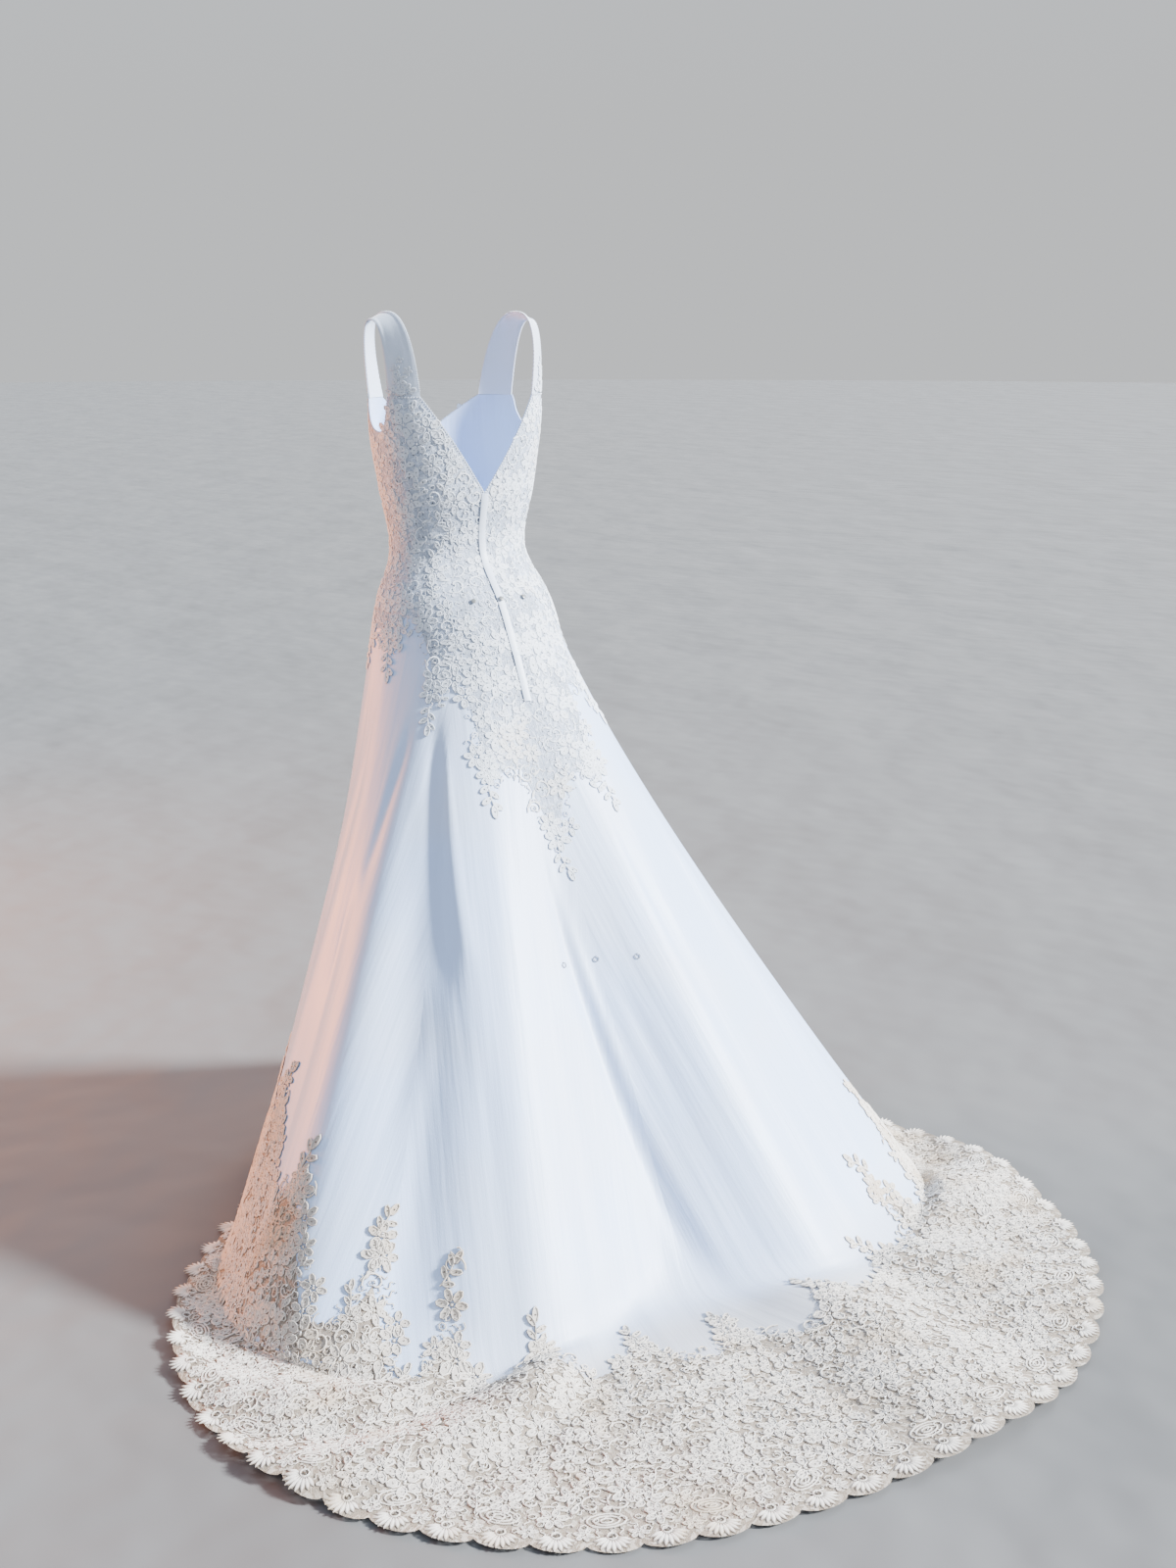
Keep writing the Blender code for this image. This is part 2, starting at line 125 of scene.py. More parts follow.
# %% Sockets that can be added and multiplied
class Wire:
    """An output of a shader node, for use in arithmetic."""

    def __init__(self, finish, socket):
        self.finish, self.socket = finish, socket

    def maths(self, operation, first, second):
        return self.finish.node("ShaderNodeMath", {"operation": operation}, [first, second])

    def __add__(self, other):
        return self.maths("ADD", self, other)

    def __sub__(self, other):
        return self.maths("SUBTRACT", self, other)

    def __rsub__(self, other):
        return self.maths("SUBTRACT", other, self)

    def __mul__(self, other):
        return self.maths("MULTIPLY", self, other)

    __radd__, __rmul__ = __add__, __mul__

    def above(self, low, high):
        """0 below low, 1 above high, and smooth between them."""
        settings = {"interpolation_type": "SMOOTHSTEP"}
        sockets = {"Value": self, "From Min": low, "From Max": high}
        return self.finish.node("ShaderNodeMapRange", settings, sockets)


class Finish:
    """A material that is being put together."""

    def __init__(self, name, **numbers):
        self.material = bpy.data.materials.new(name)
        self.material.use_nodes = True
        self.tree = self.material.node_tree
        self.shader = self.tree.nodes["Principled BSDF"]
        for key, value in numbers.items():
            self.shader.inputs[key.replace("_", " ")].default_value = value

    def node(self, kind, settings=(), sockets=(), out=0):
        made = self.tree.nodes.new(kind)
        for key, value in dict(settings).items():
            setattr(made, key, value)
        pairs = sockets.items() if isinstance(sockets, dict) else enumerate(sockets)
        for key, value in pairs:
            if isinstance(value, Wire):
                self.tree.links.new(value.socket, made.inputs[key])
            else:
                made.inputs[key].default_value = value
        return Wire(self, made.outputs[out])

    def cloth(self, across=1.0, down=1.0):
        """The piece's own place in the cloth, in metres, stretched by two numbers."""
        place = self.node("ShaderNodeUVMap", {"uv_map": "cloth"})
        return self.node("ShaderNodeVectorMath", {"operation": "MULTIPLY"}, [place, (across, down, 1.0)])

    def solid(self):
        return self.node("ShaderNodeTexCoord", out="Object")

    def noise(self, place, scale, detail=2.0):
        return self.node("ShaderNodeTexNoise", {}, {"Vector": place, "Scale": scale, "Detail": detail})

    def attribute(self, name):
        return self.node("ShaderNodeAttribute", {"attribute_name": name}, out="Fac")

    def blend(self, factor, first, second):
        colors = {0: factor, 6: first if isinstance(first, Wire) else (*first, 1), 7: (*second, 1)}
        return self.node("ShaderNodeMix", {"data_type": "RGBA"}, colors, out=2)

    def bump(self, height, distance, strength=1.0):
        sockets = {"Height": height, "Distance": distance, "Strength": strength}
        return self.node("ShaderNodeBump", {}, sockets)

    def feed(self, **wires):
        for key, wire in wires.items():
            self.tree.links.new(wire.socket, self.shader.inputs[key.replace("_", " ")])
        return self.material


print("Shader helpers are ready")

# %% [markdown]
# ## The finishes
#
# The skirt is satin under a sheer layer: white with a painted cool cast of the light, softly glossy, with
# long faint streaks where the sheer layer clings, and greyer where it lies on the floor. The lace is matt
# thread, whiter where it stands up and darker in its hollows, which is painted shade. Its ground is a fine
# net, which is a material with small holes; the border's net is darkened partly with painted shade.


# %% Satin
def satin(name, white_and_cool_light, grey, streaks):
    finish = Finish(name, Roughness=0.42, Sheen_Weight=0.25, Sheen_Roughness=0.4)
    fall = finish.attribute("fall")
    cloudy = finish.noise(finish.solid(), 3.5)
    long_streaks = finish.noise(finish.cloth(26.0, 1.6), 1.0, 4.0)
    weave = finish.noise(finish.cloth(900.0, 260.0), 1.0, 1.0)
    lying = fall.above(0.90, 1.18)
    color = finish.blend(lying, white_and_cool_light, grey)
    color = finish.blend(cloudy.above(0.42, 0.66) * 0.35, color, (0.66, 0.70, 0.80))
    normal = finish.bump(long_streaks * streaks + weave * 0.05, 0.0035)
    rough = 0.36 + 0.16 * cloudy
    return finish.feed(Base_Color=color, Roughness=rough, Normal=normal)


# The blue of both satins is a painted cool cast of the light on white satin.
skirt_satin = satin("skirt_satin", (0.53, 0.69, 1.0), (0.40, 0.41, 0.45), 0.9)
trim_satin = satin("trim_satin", (0.60, 0.69, 0.84), (0.60, 0.69, 0.84), 0.12)
print("Satin:", skirt_satin.name, trim_satin.name)


# %% Lace thread and its net ground
def thread(name, crest, hollow_shade, gold, seed):
    finish = Finish(name, Sheen_Weight=0.2)
    rise = finish.attribute("rise")
    patches = finish.noise(finish.solid(), 9.0, 3.0)
    strands = finish.noise(finish.solid(), 900.0, 1.0)
    # Painted shade: the thread is darkest at the foot of each cord and full colour on its crest.
    color = finish.blend(rise.above(0.0, 0.7), hollow_shade, crest)
    color = finish.blend(patches.above(0.52, 0.72) * 0.6, color, gold)
    beaded = 1.0 - rise.above(-0.9, -0.1)
    color = finish.blend(beaded, color, seed)
    rough = 0.70 - 0.48 * beaded
    return finish.feed(Base_Color=color, Roughness=rough, Normal=finish.bump(strands, 0.0004))


def net(name, light, dark, hole, open_share):
    """A net whose cells are about one hole across, with thicker patches where it is embroidered."""
    finish = Finish(name, Roughness=0.75)
    settings = {"feature": "DISTANCE_TO_EDGE", "voronoi_dimensions": "2D"}
    cells = finish.node("ShaderNodeTexVoronoi", settings, {"Vector": finish.cloth(), "Scale": 1 / hole})
    patches = finish.noise(finish.cloth(), 95.0, 2.0)
    wide = finish.noise(finish.solid(), 8.0)
    threads = 1.0 - cells.above(0.10, 0.22)
    filled = patches.above(0.50, 0.56)
    alpha = 1.0 - (1.0 - threads) * (1.0 - filled) * open_share
    color = finish.blend(filled * 0.8, dark, light)
    color = finish.blend(wide.above(0.42, 0.68) * 0.45, color, dark)
    normal = finish.bump(threads + filled, 0.0003)
    return finish.feed(Base_Color=color, Alpha=alpha, Normal=normal)


# The hollow colours below are painted shade on the low parts of the thread.
bodice_thread = thread(
    "bodice_thread",
    crest=(0.80, 0.86, 0.95),
    hollow_shade=(0.32, 0.37, 0.45),
    gold=(0.66, 0.64, 0.62),
    seed=(0.07, 0.075, 0.08),
)
hem_thread = thread(
    "hem_thread",
    crest=(0.74, 0.70, 0.65),
    hollow_shade=(0.17, 0.13, 0.10),
    gold=(0.50, 0.38, 0.25),
    seed=(0.10, 0.08, 0.06),
)
bodice_net = net("bodice_net", (0.68, 0.76, 0.90), (0.52, 0.60, 0.74), 0.0028, 0.4)
# The border's net is dark brown: partly the lace's warm ground, partly painted shade in the gaps between the
# motifs.
hem_net = net("hem_net", (0.52, 0.47, 0.41), (0.32, 0.26, 0.20), 0.0030, 0.4)
print("Lace:", bodice_thread.name, hem_thread.name, bodice_net.name, hem_net.name)


# %% Beads, buttons and floor
def speckled(name, light, dark, scale, **numbers):
    finish = Finish(name, **numbers)
    grains = finish.noise(finish.solid(), scale, 3.0)
    color = finish.blend(grains.above(0.35, 0.7), light, dark)
    return finish.feed(Base_Color=color, Normal=finish.bump(grains, 0.1 / scale))


bead_gloss = speckled(
    "bead_gloss", (0.93, 0.93, 0.95), (0.78, 0.80, 0.84), 400.0, Roughness=0.12, Coat_Weight=0.6
)
button_cloth = speckled(
    "button_cloth", (0.17, 0.18, 0.18), (0.10, 0.11, 0.11), 900.0, Roughness=0.35, Coat_Weight=0.3
)
loop_thread = speckled("loop_thread", (0.30, 0.31, 0.34), (0.20, 0.21, 0.24), 1200.0, Roughness=0.6)
floor_finish = speckled("floor", (0.120, 0.122, 0.125), (0.116, 0.118, 0.120), 2.0, Roughness=0.9)
print("Trim and floor finishes are ready")

# %% [markdown]
# ## The form of the dress
#
# Every cloth lies on one surface, found from two numbers. The column counts round the body from centre
# back, and the fall counts down it: 0 at the hips, 1 where the skirt meets the floor and 2 at the edge of
# the lace. One surface for all means that lace always follows the satin under it, fold for fold.

# %% Sizes
FLOOR_Z = -1.42
STRAP_SEAM_Z = -0.124
FRONT_SEAM_Z = -0.130
BACK_V_Z = -0.278
FRONT_V_Z = -0.200
WAIST_Z = -0.378
HIP_Z = -0.530
ZIP_END_Z = -0.600
BUTTON_Z = -0.446
SATIN = 0.0016
LACE = 0.0010
GAP = 0.0003
STRAP_THICK = 0.0020
STRAP_TOP_WIDTH = 0.028
STRAP_TOP_X = 0.133
STRAP_SLOPE = 0.012
STRAP_ROUNDING = 2 / 2.6
LAP_WIDTH = 0.012
LAP_THICK = 0.0010
SCALLOP_DEPTH = 0.013
LACE_BEYOND_HEM = 0.042
FLARE = 0.15
BEND = 0.045
TRAIN_TURN = 4.0
HALF_ROUND = 22
STRAP_BACK = (5, 10)
STRAP_FRONT = (19, 16)

Ring = namedtuple("Ring", "z half_width back front centre_y squareness")
TORSO = (
    Ring(-0.090, 0.148, 0.078, 0.088, 0.012, 2.5),
    Ring(-0.180, 0.141, 0.090, 0.120, 0.012, 2.4),
    Ring(-0.270, 0.129, 0.088, 0.108, 0.010, 2.3),
    Ring(-0.378, 0.117, 0.084, 0.084, 0.006, 2.1),
    Ring(-0.450, 0.146, 0.132, 0.094, 0.014, 2.1),
    Ring(-0.530, 0.166, 0.172, 0.108, 0.020, 2.0),
)
Reach = namedtuple("Reach", "angle floor_line lace_edge")
REACH = (
    Reach(0, 0.700, 1.225),
    Reach(20, 0.800, 1.210),
    Reach(40, 0.825, 1.065),
    Reach(60, 0.670, 0.770),
    Reach(75, 0.460, 0.497),
    Reach(90, 0.358, 0.378),
    Reach(115, 0.312, 0.328),
    Reach(150, 0.305, 0.322),
    Reach(180, 0.320, 0.338),
)
Seam = namedtuple("Seam", "column bust waist floor")
SEAMS = (
    Seam(0, 0, 0, 0),
    Seam(7, 57, 34, 38),
    Seam(13, 90, 90, 80),
    Seam(17, 123, 142, 130),
    Seam(22, 180, 180, 180),
)
Armhole = namedtuple("Armhole", "column z")
ARMHOLE = (
    Armhole(10, -0.124),
    Armhole(11, -0.152),
    Armhole(12, -0.173),
    Armhole(13, -0.180),
    Armhole(14, -0.174),
    Armhole(15, -0.156),
    Armhole(16, -0.130),
)
print("Dress height:", -FLOOR_Z, "m")


# %% Curves through tables
def ease(share):
    share = np.clip(share, 0.0, 1.0)
    return share * share * (3 - 2 * share)


def unit(vectors):
    return vectors / np.linalg.norm(vectors, axis=-1, keepdims=True)


def smooth(at, table, key, name, level_ends=True):
    """A table's column, read off a curve through its rows that has no corners."""
    rows = sorted(table, key=lambda row: getattr(row, key))
    knots = np.array([getattr(row, key) for row in rows], float)
    values = np.array([getattr(row, name) for row in rows], float)
    steps = np.diff(values) / np.diff(knots)
    ends = (0.0, 0.0) if level_ends else (steps[0], steps[-1])
    slopes = np.concatenate([[ends[0]], (steps[1:] + steps[:-1]) / 2, [ends[1]]])
    at = np.clip(at, knots[0], knots[-1])
    i = np.clip(np.searchsorted(knots, at, side="right") - 1, 0, len(knots) - 2)
    span = knots[i + 1] - knots[i]
    t = (at - knots[i]) / span
    between = values[i] * (1 + 2 * t) * (1 - t) ** 2 + values[i + 1] * t * t * (3 - 2 * t)
    return between + span * t * (1 - t) * (slopes[i] * (1 - t) - slopes[i + 1] * t)


def turned(column, level):
    """The angle of a column from centre back, in degrees, at the bust, the waist or the floor."""
    column = (np.asarray(column, float) + HALF_ROUND) % (2 * HALF_ROUND) - HALF_ROUND
    at = [seam.column for seam in SEAMS]
    return np.sign(column) * np.interp(np.abs(column), at, [getattr(seam, level) for seam in SEAMS])


def fall_of(z):
    return (z - HIP_Z) / (FLOOR_Z - HIP_Z)


def degrees_between(angle, other):
    return (angle - other + 180) % 360 - 180


def run_along(points):
    """The length of a line up to each of its points."""
    return np.append(0, np.cumsum(np.linalg.norm(np.diff(points, axis=0), axis=-1)))


print("Hips at fall", fall_of(HIP_Z), "and floor at fall", fall_of(FLOOR_Z))

# %% [markdown]
# ## Folds
#
# Folds hang from the hips and grow towards the floor, the long creases are thin and slanted, and the cloth
# on the floor has ripples that run outwards. Each is one row of a table with its own place, width and
# depth, because real folds are uneven. The hidden sides have folds of the same kind.

# %% Tables of folds, creases and ripples
Fold = namedtuple("Fold", "foot lean width depth start")
FOLDS = (
    Fold(35, 9, 7, -0.036, 0.02),
    Fold(20, 4, 7, 0.016, 0.15),
    Fold(0, 7, 5, -0.014, 0.25),
    Fold(-13, -2, 6, 0.017, 0.20),
    Fold(-28, -4, 7, -0.020, 0.15),
    Fold(-46, -6, 7, 0.014, 0.15),
    Fold(-66, -4, 8, -0.024, 0.08),
    Fold(49, 2, 6, 0.016, 0.15),
    Fold(63, -6, 6, -0.017, 0.10),
    Fold(83, -4, 9, 0.014, 0.20),
    Fold(106, -2, 9, -0.020, 0.15),
    Fold(129, 0, 10, 0.014, 0.20),
    Fold(152, 2, 10, -0.016, 0.15),
    Fold(-92, 2, 9, 0.016, 0.20),
    Fold(-115, 2, 10, -0.020, 0.12),
    Fold(-139, 0, 10, 0.013, 0.20),
    Fold(-163, -2, 10, -0.015, 0.15),
)
Crease = namedtuple("Crease", "top_angle top foot_angle foot width depth")
CREASES = (
    Crease(51, 0.09, 56, 0.40, 1.8, -0.0060),
    Crease(44, 0.06, 33, 0.55, 2.4, -0.0070),
    Crease(40, 0.10, 28, 0.50, 2.0, 0.0040),
    Crease(9, 0.30, -2, 1.02, 1.6, -0.0070),
    Crease(5, 0.40, -5, 1.04, 1.3, 0.0045),
    Crease(-3, 0.45, -9, 1.03, 1.7, -0.0040),
    Crease(14, 0.50, 11, 1.05, 1.8, 0.0030),
    Crease(27, 0.55, 24, 1.04, 2.2, -0.0045),
    Crease(36, 0.50, 41, 1.04, 2.2, 0.0050),
    Crease(59, 0.30, 57, 1.02, 1.8, -0.0050),
    Crease(67, 0.12, 70, 0.80, 2.4, -0.0050),
    Crease(73, 0.20, 78, 1.00, 2.4, 0.0050),
    Crease(95, 0.25, 98, 1.00, 2.6, -0.0050),
    Crease(120, 0.20, 118, 1.00, 2.6, 0.0050),
    Crease(140, 0.30, 143, 1.00, 3.0, -0.0040),
    Crease(-17, 0.20, -20, 1.04, 2.0, -0.0040),
    Crease(-36, 0.15, -38, 1.02, 2.4, 0.0050),
    Crease(-54, 0.12, -57, 1.02, 2.4, -0.0050),
    Crease(-76, 0.15, -80, 1.00, 2.8, 0.0050),
    Crease(-103, 0.20, -105, 1.00, 3.0, -0.0050),
    Crease(-127, 0.30, -128, 1.00, 3.0, 0.0045),
    Crease(-150, 0.25, -152, 1.00, 3.0, -0.0040),
    Crease(172, 0.30, 175, 1.00, 3.0, 0.0040),
)
Ripple = namedtuple("Ripple", "floor_line edge width height")
RIPPLES = (
    Ripple(19, 45, 5, 0.024),
    Ripple(-11, -5, 6, 0.026),
    Ripple(-34, -47, 6, 0.030),
    Ripple(35, 60, 6, 0.014),
    Ripple(-52, -66, 6, 0.016),
    Ripple(-22, -27, 5, 0.012),
)
Wave = namedtuple("Wave", "turns slant start height")
WAVES = (Wave(13, 3.0, 0.3, 0.0016), Wave(29, -4.0, 1.7, 0.0011), Wave(47, 6.0, 0.9, 0.0008))
print(len(FOLDS), "folds,", len(CREASES), "creases,", len(RIPPLES), "ripples")


# %% Depths from the tables
def fold_depth(angle, fall):
    depth = np.zeros(np.broadcast(angle, fall).shape)
    for fold in FOLDS:
        away = degrees_between(angle, fold.foot + fold.lean * (1 - fall))
        depth = depth + fold.depth * np.exp(-((away / fold.width) ** 2)) * ease((fall - fold.start) / 0.6)
    return depth


def crease_depth(angle, fall):
    depth = np.zeros(np.broadcast(angle, fall).shape)
    for crease in CREASES:
        down = (fall - crease.top) / (crease.foot - crease.top)
        middle = crease.top_angle + (crease.foot_angle - crease.top_angle) * np.clip(down, 0, 1)
        away = degrees_between(angle, middle)
        fade = ease(down / 0.3) * ease((1 - down) / 0.2)
        depth = depth + crease.depth * np.exp(-((away / crease.width) ** 2)) * fade
    return depth


def ripple_height(angle, fall):
    height = np.zeros(np.broadcast(angle, fall).shape)
    out = np.clip(fall - 1, 0, 1)
    for ripple in RIPPLES:
        away = angle - ripple.floor_line - (ripple.edge - ripple.floor_line) * out
        height = height + ripple.height * np.maximum(0, 1 - (away / ripple.width / 1.5) ** 2) ** 2
    return height * ease((fall - 0.92) / 0.25) * (1 - 0.45 * out)


def waves(angle, fall):
    """Small uneven waves of the sheer layer, strongest where the skirt turns onto the floor."""
    height = 0.0
    for wave in WAVES:
        phase = np.radians(wave.turns * angle) + wave.slant * fall + wave.start
        height = height + wave.height * (1 + np.sin(phase))
    return height * ease((fall - 0.55) / 0.45) * (1 - 0.35 * ease((fall - 1.1) / 0.6))


print("Deepest fold at the floor:", round(float(fold_depth(np.arange(-180, 181), 1.0).min()), 4), "m")


# %% The surface itself
def torso(column, z):
    bust = turned(column, "bust")
    drawn = ease((STRAP_SEAM_Z - z) / (STRAP_SEAM_Z - WAIST_Z))
    angle = np.radians(bust + (turned(column, "waist") - bust) * drawn)
    half_width, back, front, centre_y, squareness = (
        smooth(z, TORSO, "z", name, level_ends=False) for name in Ring._fields[1:]
    )
    power = 2 / squareness
    across = np.sign(np.sin(angle)) * np.abs(np.sin(angle)) ** power
    along = np.sign(np.cos(angle)) * np.abs(np.cos(angle)) ** power
    return np.stack([half_width * across, centre_y + np.where(along > 0, back, front) * along, z], -1)


def reaches(column):
    """How far out a column meets the floor, and how far its lace edge lies, with the train turned."""
    angle = turned(column, "floor")
    away = np.abs(angle - TRAIN_TURN * (1 + np.cos(np.radians(angle))) / 2)
    return smooth(away, REACH, "angle", "floor_line"), smooth(away, REACH, "angle", "lace_edge")


def skirt(column, fall):
    hips = torso(column, HIP_Z + 0 * fall)
    angle = turned(column, "floor")
    heading = np.stack([np.sin(np.radians(angle)), np.cos(np.radians(angle)), 0 * angle], -1)
    floor_line, lace_edge = reaches(column)
    down = np.clip(fall, 0, 1)
    spread = ((1 - FLARE) * down + FLARE * down * down)[..., None]
    standing = hips + (floor_line[..., None] * heading - hips) * spread
    lying = heading * (floor_line + (lace_edge - floor_line) * np.maximum(fall - 1, 0))[..., None]
    point = np.where(fall[..., None] < 1, standing, lying)
    upright = ease((1.06 - fall) / 0.14)
    depth = fold_depth(angle, fall) + crease_depth(angle, fall) + waves(angle, fall) * (fall < 1)
    point = point + heading * (depth * upright)[..., None]
    above = (FLOOR_Z - HIP_Z) * (fall - 1)
    settled = np.where(above > BEND, above, np.where(above < -BEND, 0, (above + BEND) ** 2 / (4 * BEND)))
    lying_waves = waves(angle, fall) * (1 - upright)
    point[..., 2] = FLOOR_Z + SATIN + settled + ripple_height(angle, fall) + lying_waves
    return point


def surface(column, fall):
    """The outside of the satin, for arrays of columns and falls."""
    column, fall = np.broadcast_arrays(np.asarray(column, float), np.asarray(fall, float))
    z = HIP_Z + (FLOOR_Z - HIP_Z) * fall
    return np.where(fall[..., None] < 0, torso(column, np.maximum(z, HIP_Z)), skirt(column, fall))


def along_column(column, fall):
    """The direction of the next column, a unit long."""
    return unit(surface(column + 0.05, fall) - surface(column - 0.05, fall))


def outward(column, fall):
    """The cloth's normal."""
    down = surface(column, fall + 0.004) - surface(column, fall - 0.004)
    return unit(np.cross(along_column(column, fall), down))


print("Centre back meets the floor at", surface(0.0, 1.0).round(3))


# %% [markdown]
# ## Edges of the cloth
#
# The neck is a deep V behind and a shallow one in front, the armholes are curves between the straps, and
# the hem is measured in from the edge of the lace, so that it stays even on the train and at the front.

# %% Neckline and hem
def neckline_z(column):
    column = np.abs((column + HALF_ROUND) % (2 * HALF_ROUND) - HALF_ROUND)
    armhole = smooth(column, ARMHOLE, "column", "z")
    z = np.where(column > STRAP_FRONT[0], FRONT_SEAM_Z, armhole)
    for low, seam_z, corner, back in (
        (BACK_V_Z, STRAP_SEAM_Z, STRAP_BACK[0], True),
        (FRONT_V_Z, FRONT_SEAM_Z, STRAP_FRONT[0], False),
    ):
        corner_x = torso(np.array(float(corner)), np.array(seam_z))[0]
        inside = column < corner if back else column > corner
        edge = np.full(column.shape, seam_z)
        for _ in range(12):
            edge = low + (seam_z - low) * torso(column, edge)[..., 0] / corner_x
        z = np.where(inside, edge, z)
    return np.where((column >= STRAP_BACK[0]) & (column <= STRAP_BACK[1]), STRAP_SEAM_Z, z)


def hem_fall(column, short_of_edge):
    """The fall at a distance in from the lace's edge, measured along the cloth."""
    floor_line, lace_edge = reaches(column)
    train = lace_edge - floor_line
    slant = np.hypot(floor_line - TORSO[-1].half_width, HIP_Z - FLOOR_Z)
    return np.where(train > short_of_edge, 2 - short_of_edge / train, 1 - (short_of_edge - train) / slant)


def even_columns(start, end, count, fall_at):
    """Columns at equal distances along a line across the cloth."""
    tries = np.linspace(start, end, 60 * (end - start) + 1)
    run = run_along(surface(tries, fall_at(tries)))
    return np.interp(run[-1] * np.linspace(0, 1, count), run, tries), run[-1]


print("Lowest point of the back V:", round(float(neckline_z(np.array(0.0))), 3), "m")

# %% [markdown]
# ## Making a cloth
#
# A cloth is a grid of points on the surface. It carries a UV map in metres, for the weave, and its fall,
# for its colour. Solidify gives it its thickness inwards, and it is applied, so the wall is real. The cut
# edges are shaded crisp, and so two panels of one surface meet without a line between them.


# %% From a grid of points to a cloth
def add_attribute(mesh, name, values):
    layer = mesh.attributes.new(name, "FLOAT", "POINT")
    layer.data.foreach_set("value", np.ascontiguousarray(values, dtype=np.float32).ravel())


def new_object(name, points, faces, material):
    mesh = bpy.data.meshes.new(name)
    mesh.from_pydata(points.reshape(-1, 3).tolist(), [], faces)
    mesh.polygons.foreach_set("use_smooth", np.ones(len(mesh.polygons), dtype=bool))
    mesh.materials.append(material)
    obj = bpy.data.objects.new(name, mesh)
    bpy.context.scene.collection.objects.link(obj)
    return obj


def select_only(obj):
    bpy.ops.object.select_all(action="DESELECT")
    obj.select_set(True)
    bpy.context.view_layer.objects.active = obj


CRISP_ANGLE = math.radians(60)


def cloth(name, points, fall, thickness, material):
    """A sheet with its outside on the points, and a wall if it has a thickness."""
    rows, width = points.shape[:2]
    corner = (np.arange(rows - 1)[:, None] * width + np.arange(width - 1)).ravel()
    faces = np.stack([corner, corner + 1, corner + width + 1, corner + width], -1)
    obj = new_object(name, points, faces.tolist(), material)
    across = np.zeros((rows, width))
    across[:, 1:] = np.cumsum(np.linalg.norm(np.diff(points, axis=1), axis=-1), axis=1)
    down = np.zeros((rows, width))
    down[1:] = np.cumsum(np.linalg.norm(np.diff(points, axis=0), axis=-1), axis=0)
    metres = np.stack([across - across[:, width // 2 : width // 2 + 1], down], -1).reshape(-1, 2)
    layer = obj.data.uv_layers.new(name="cloth")
    layer.data.foreach_set("uv", metres[faces.ravel()].astype(np.float32).ravel())
    add_attribute(obj.data, "fall", fall)
    if thickness:
        wall = obj.modifiers.new("thickness", "SOLIDIFY")
        wall.thickness, wall.offset = thickness, -1.0
        select_only(obj)
        bpy.ops.object.modifier_apply(modifier=wall.name)
        bpy.ops.object.shade_smooth_by_angle(angle=CRISP_ANGLE)
    area = sum(polygon.area for polygon in obj.data.polygons) / (2 if thickness else 1)
    print(name, "is", round(across[:, -1].max(), 2), "m by", round(down[-1].max(), 2), "m")
    print("  its area is", round(area, 3), "m2, in", 2 * len(obj.data.polygons), "triangles")
    return obj


# %% [markdown]
# ## The satin panels
#
# Seven panels meet at centre back, at the two princess seams, at the sides and beside the front. Each
# is cut wide at the hem and narrow at the waist. Their rows are closest at the floor, where the cloth
# bends most. A cut has a piece's longest width and length, and its area, which a flare makes smaller;
# the laces list one each.

# %% Cut sizes
Cut = namedtuple("Cut", "width length area")
Panel = namedtuple("Panel", "name start end per_column")
PANELS = (
    Panel("back_left", 0, 7, 10),
    Panel("back_right", -7, 0, 10),
    Panel("side_back_left", 7, 13, 11),
    Panel("side_back_right", -13, -7, 11),
    Panel("side_front_left", 13, 17, 9),
    Panel("side_front_right", -17, -13, 9),
    Panel("front", 17, 27, 7),
)


# %% Cut and sew the panels
def panel_falls(column):
    """Rows from the neckline to the hem: fine on the bodice, plain down the skirt, finest at the floor."""
    top, hem = fall_of(neckline_z(column)), hem_fall(column, LACE_BEYOND_HEM)
    knee = np.minimum(0.80, hem - 0.12)
    shares = np.linspace(0, 1, 40)[:, None]
    bodice = top + (0.0 - top) * shares
    thigh = knee * np.linspace(0, 1, 42)[1:, None]
    floor = knee + (hem - knee) * np.linspace(0, 1, 68)[1:, None]
    return np.concatenate([bodice, thigh, floor])


for panel in PANELS:
    column = np.linspace(panel.start, panel.end, (panel.end - panel.start) * panel.per_column + 1)
    fall = panel_falls(column)
    column = np.broadcast_to(column, fall.shape)
    points = surface(column, fall)
    piece = cloth(panel.name + "_satin", points, fall, SATIN, skirt_satin)
    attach(piece, "root")
    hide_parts(panel.name)

# %% [markdown]
# ## Straps and zip lap
#
# Each strap is a band of satin that narrows over the shoulder. A raised border runs along both of its
# edges, and the edges themselves are a row of tiny waves. The lap is a narrow crowned band over the zip.


# %% Straps
def strap_point(share, turn):
    """A point of the strap's outside: share runs from neck to arm, and turn from back to front."""
    back_column = STRAP_BACK[0] + (STRAP_BACK[1] - STRAP_BACK[0]) * share
    front_column = STRAP_FRONT[0] + (STRAP_FRONT[1] - STRAP_FRONT[0]) * share
    back = torso(back_column, STRAP_SEAM_Z + GAP + 0 * share)
    front = torso(front_column, FRONT_SEAM_Z + GAP + 0 * share)
    base = np.where(np.cos(turn)[..., None] > 0, back, front)
    rise, run = np.abs(np.sin(turn)) ** STRAP_ROUNDING, np.abs(np.cos(turn)) ** STRAP_ROUNDING
    top_x = STRAP_TOP_X + STRAP_TOP_WIDTH * (share - 0.5)
    top_z = STRAP_SLOPE * (0.5 - share)
    x = base[..., 0] + (top_x - base[..., 0]) * rise
    return np.stack([x, base[..., 1] * run, base[..., 2] + (top_z - base[..., 2]) * rise], -1)


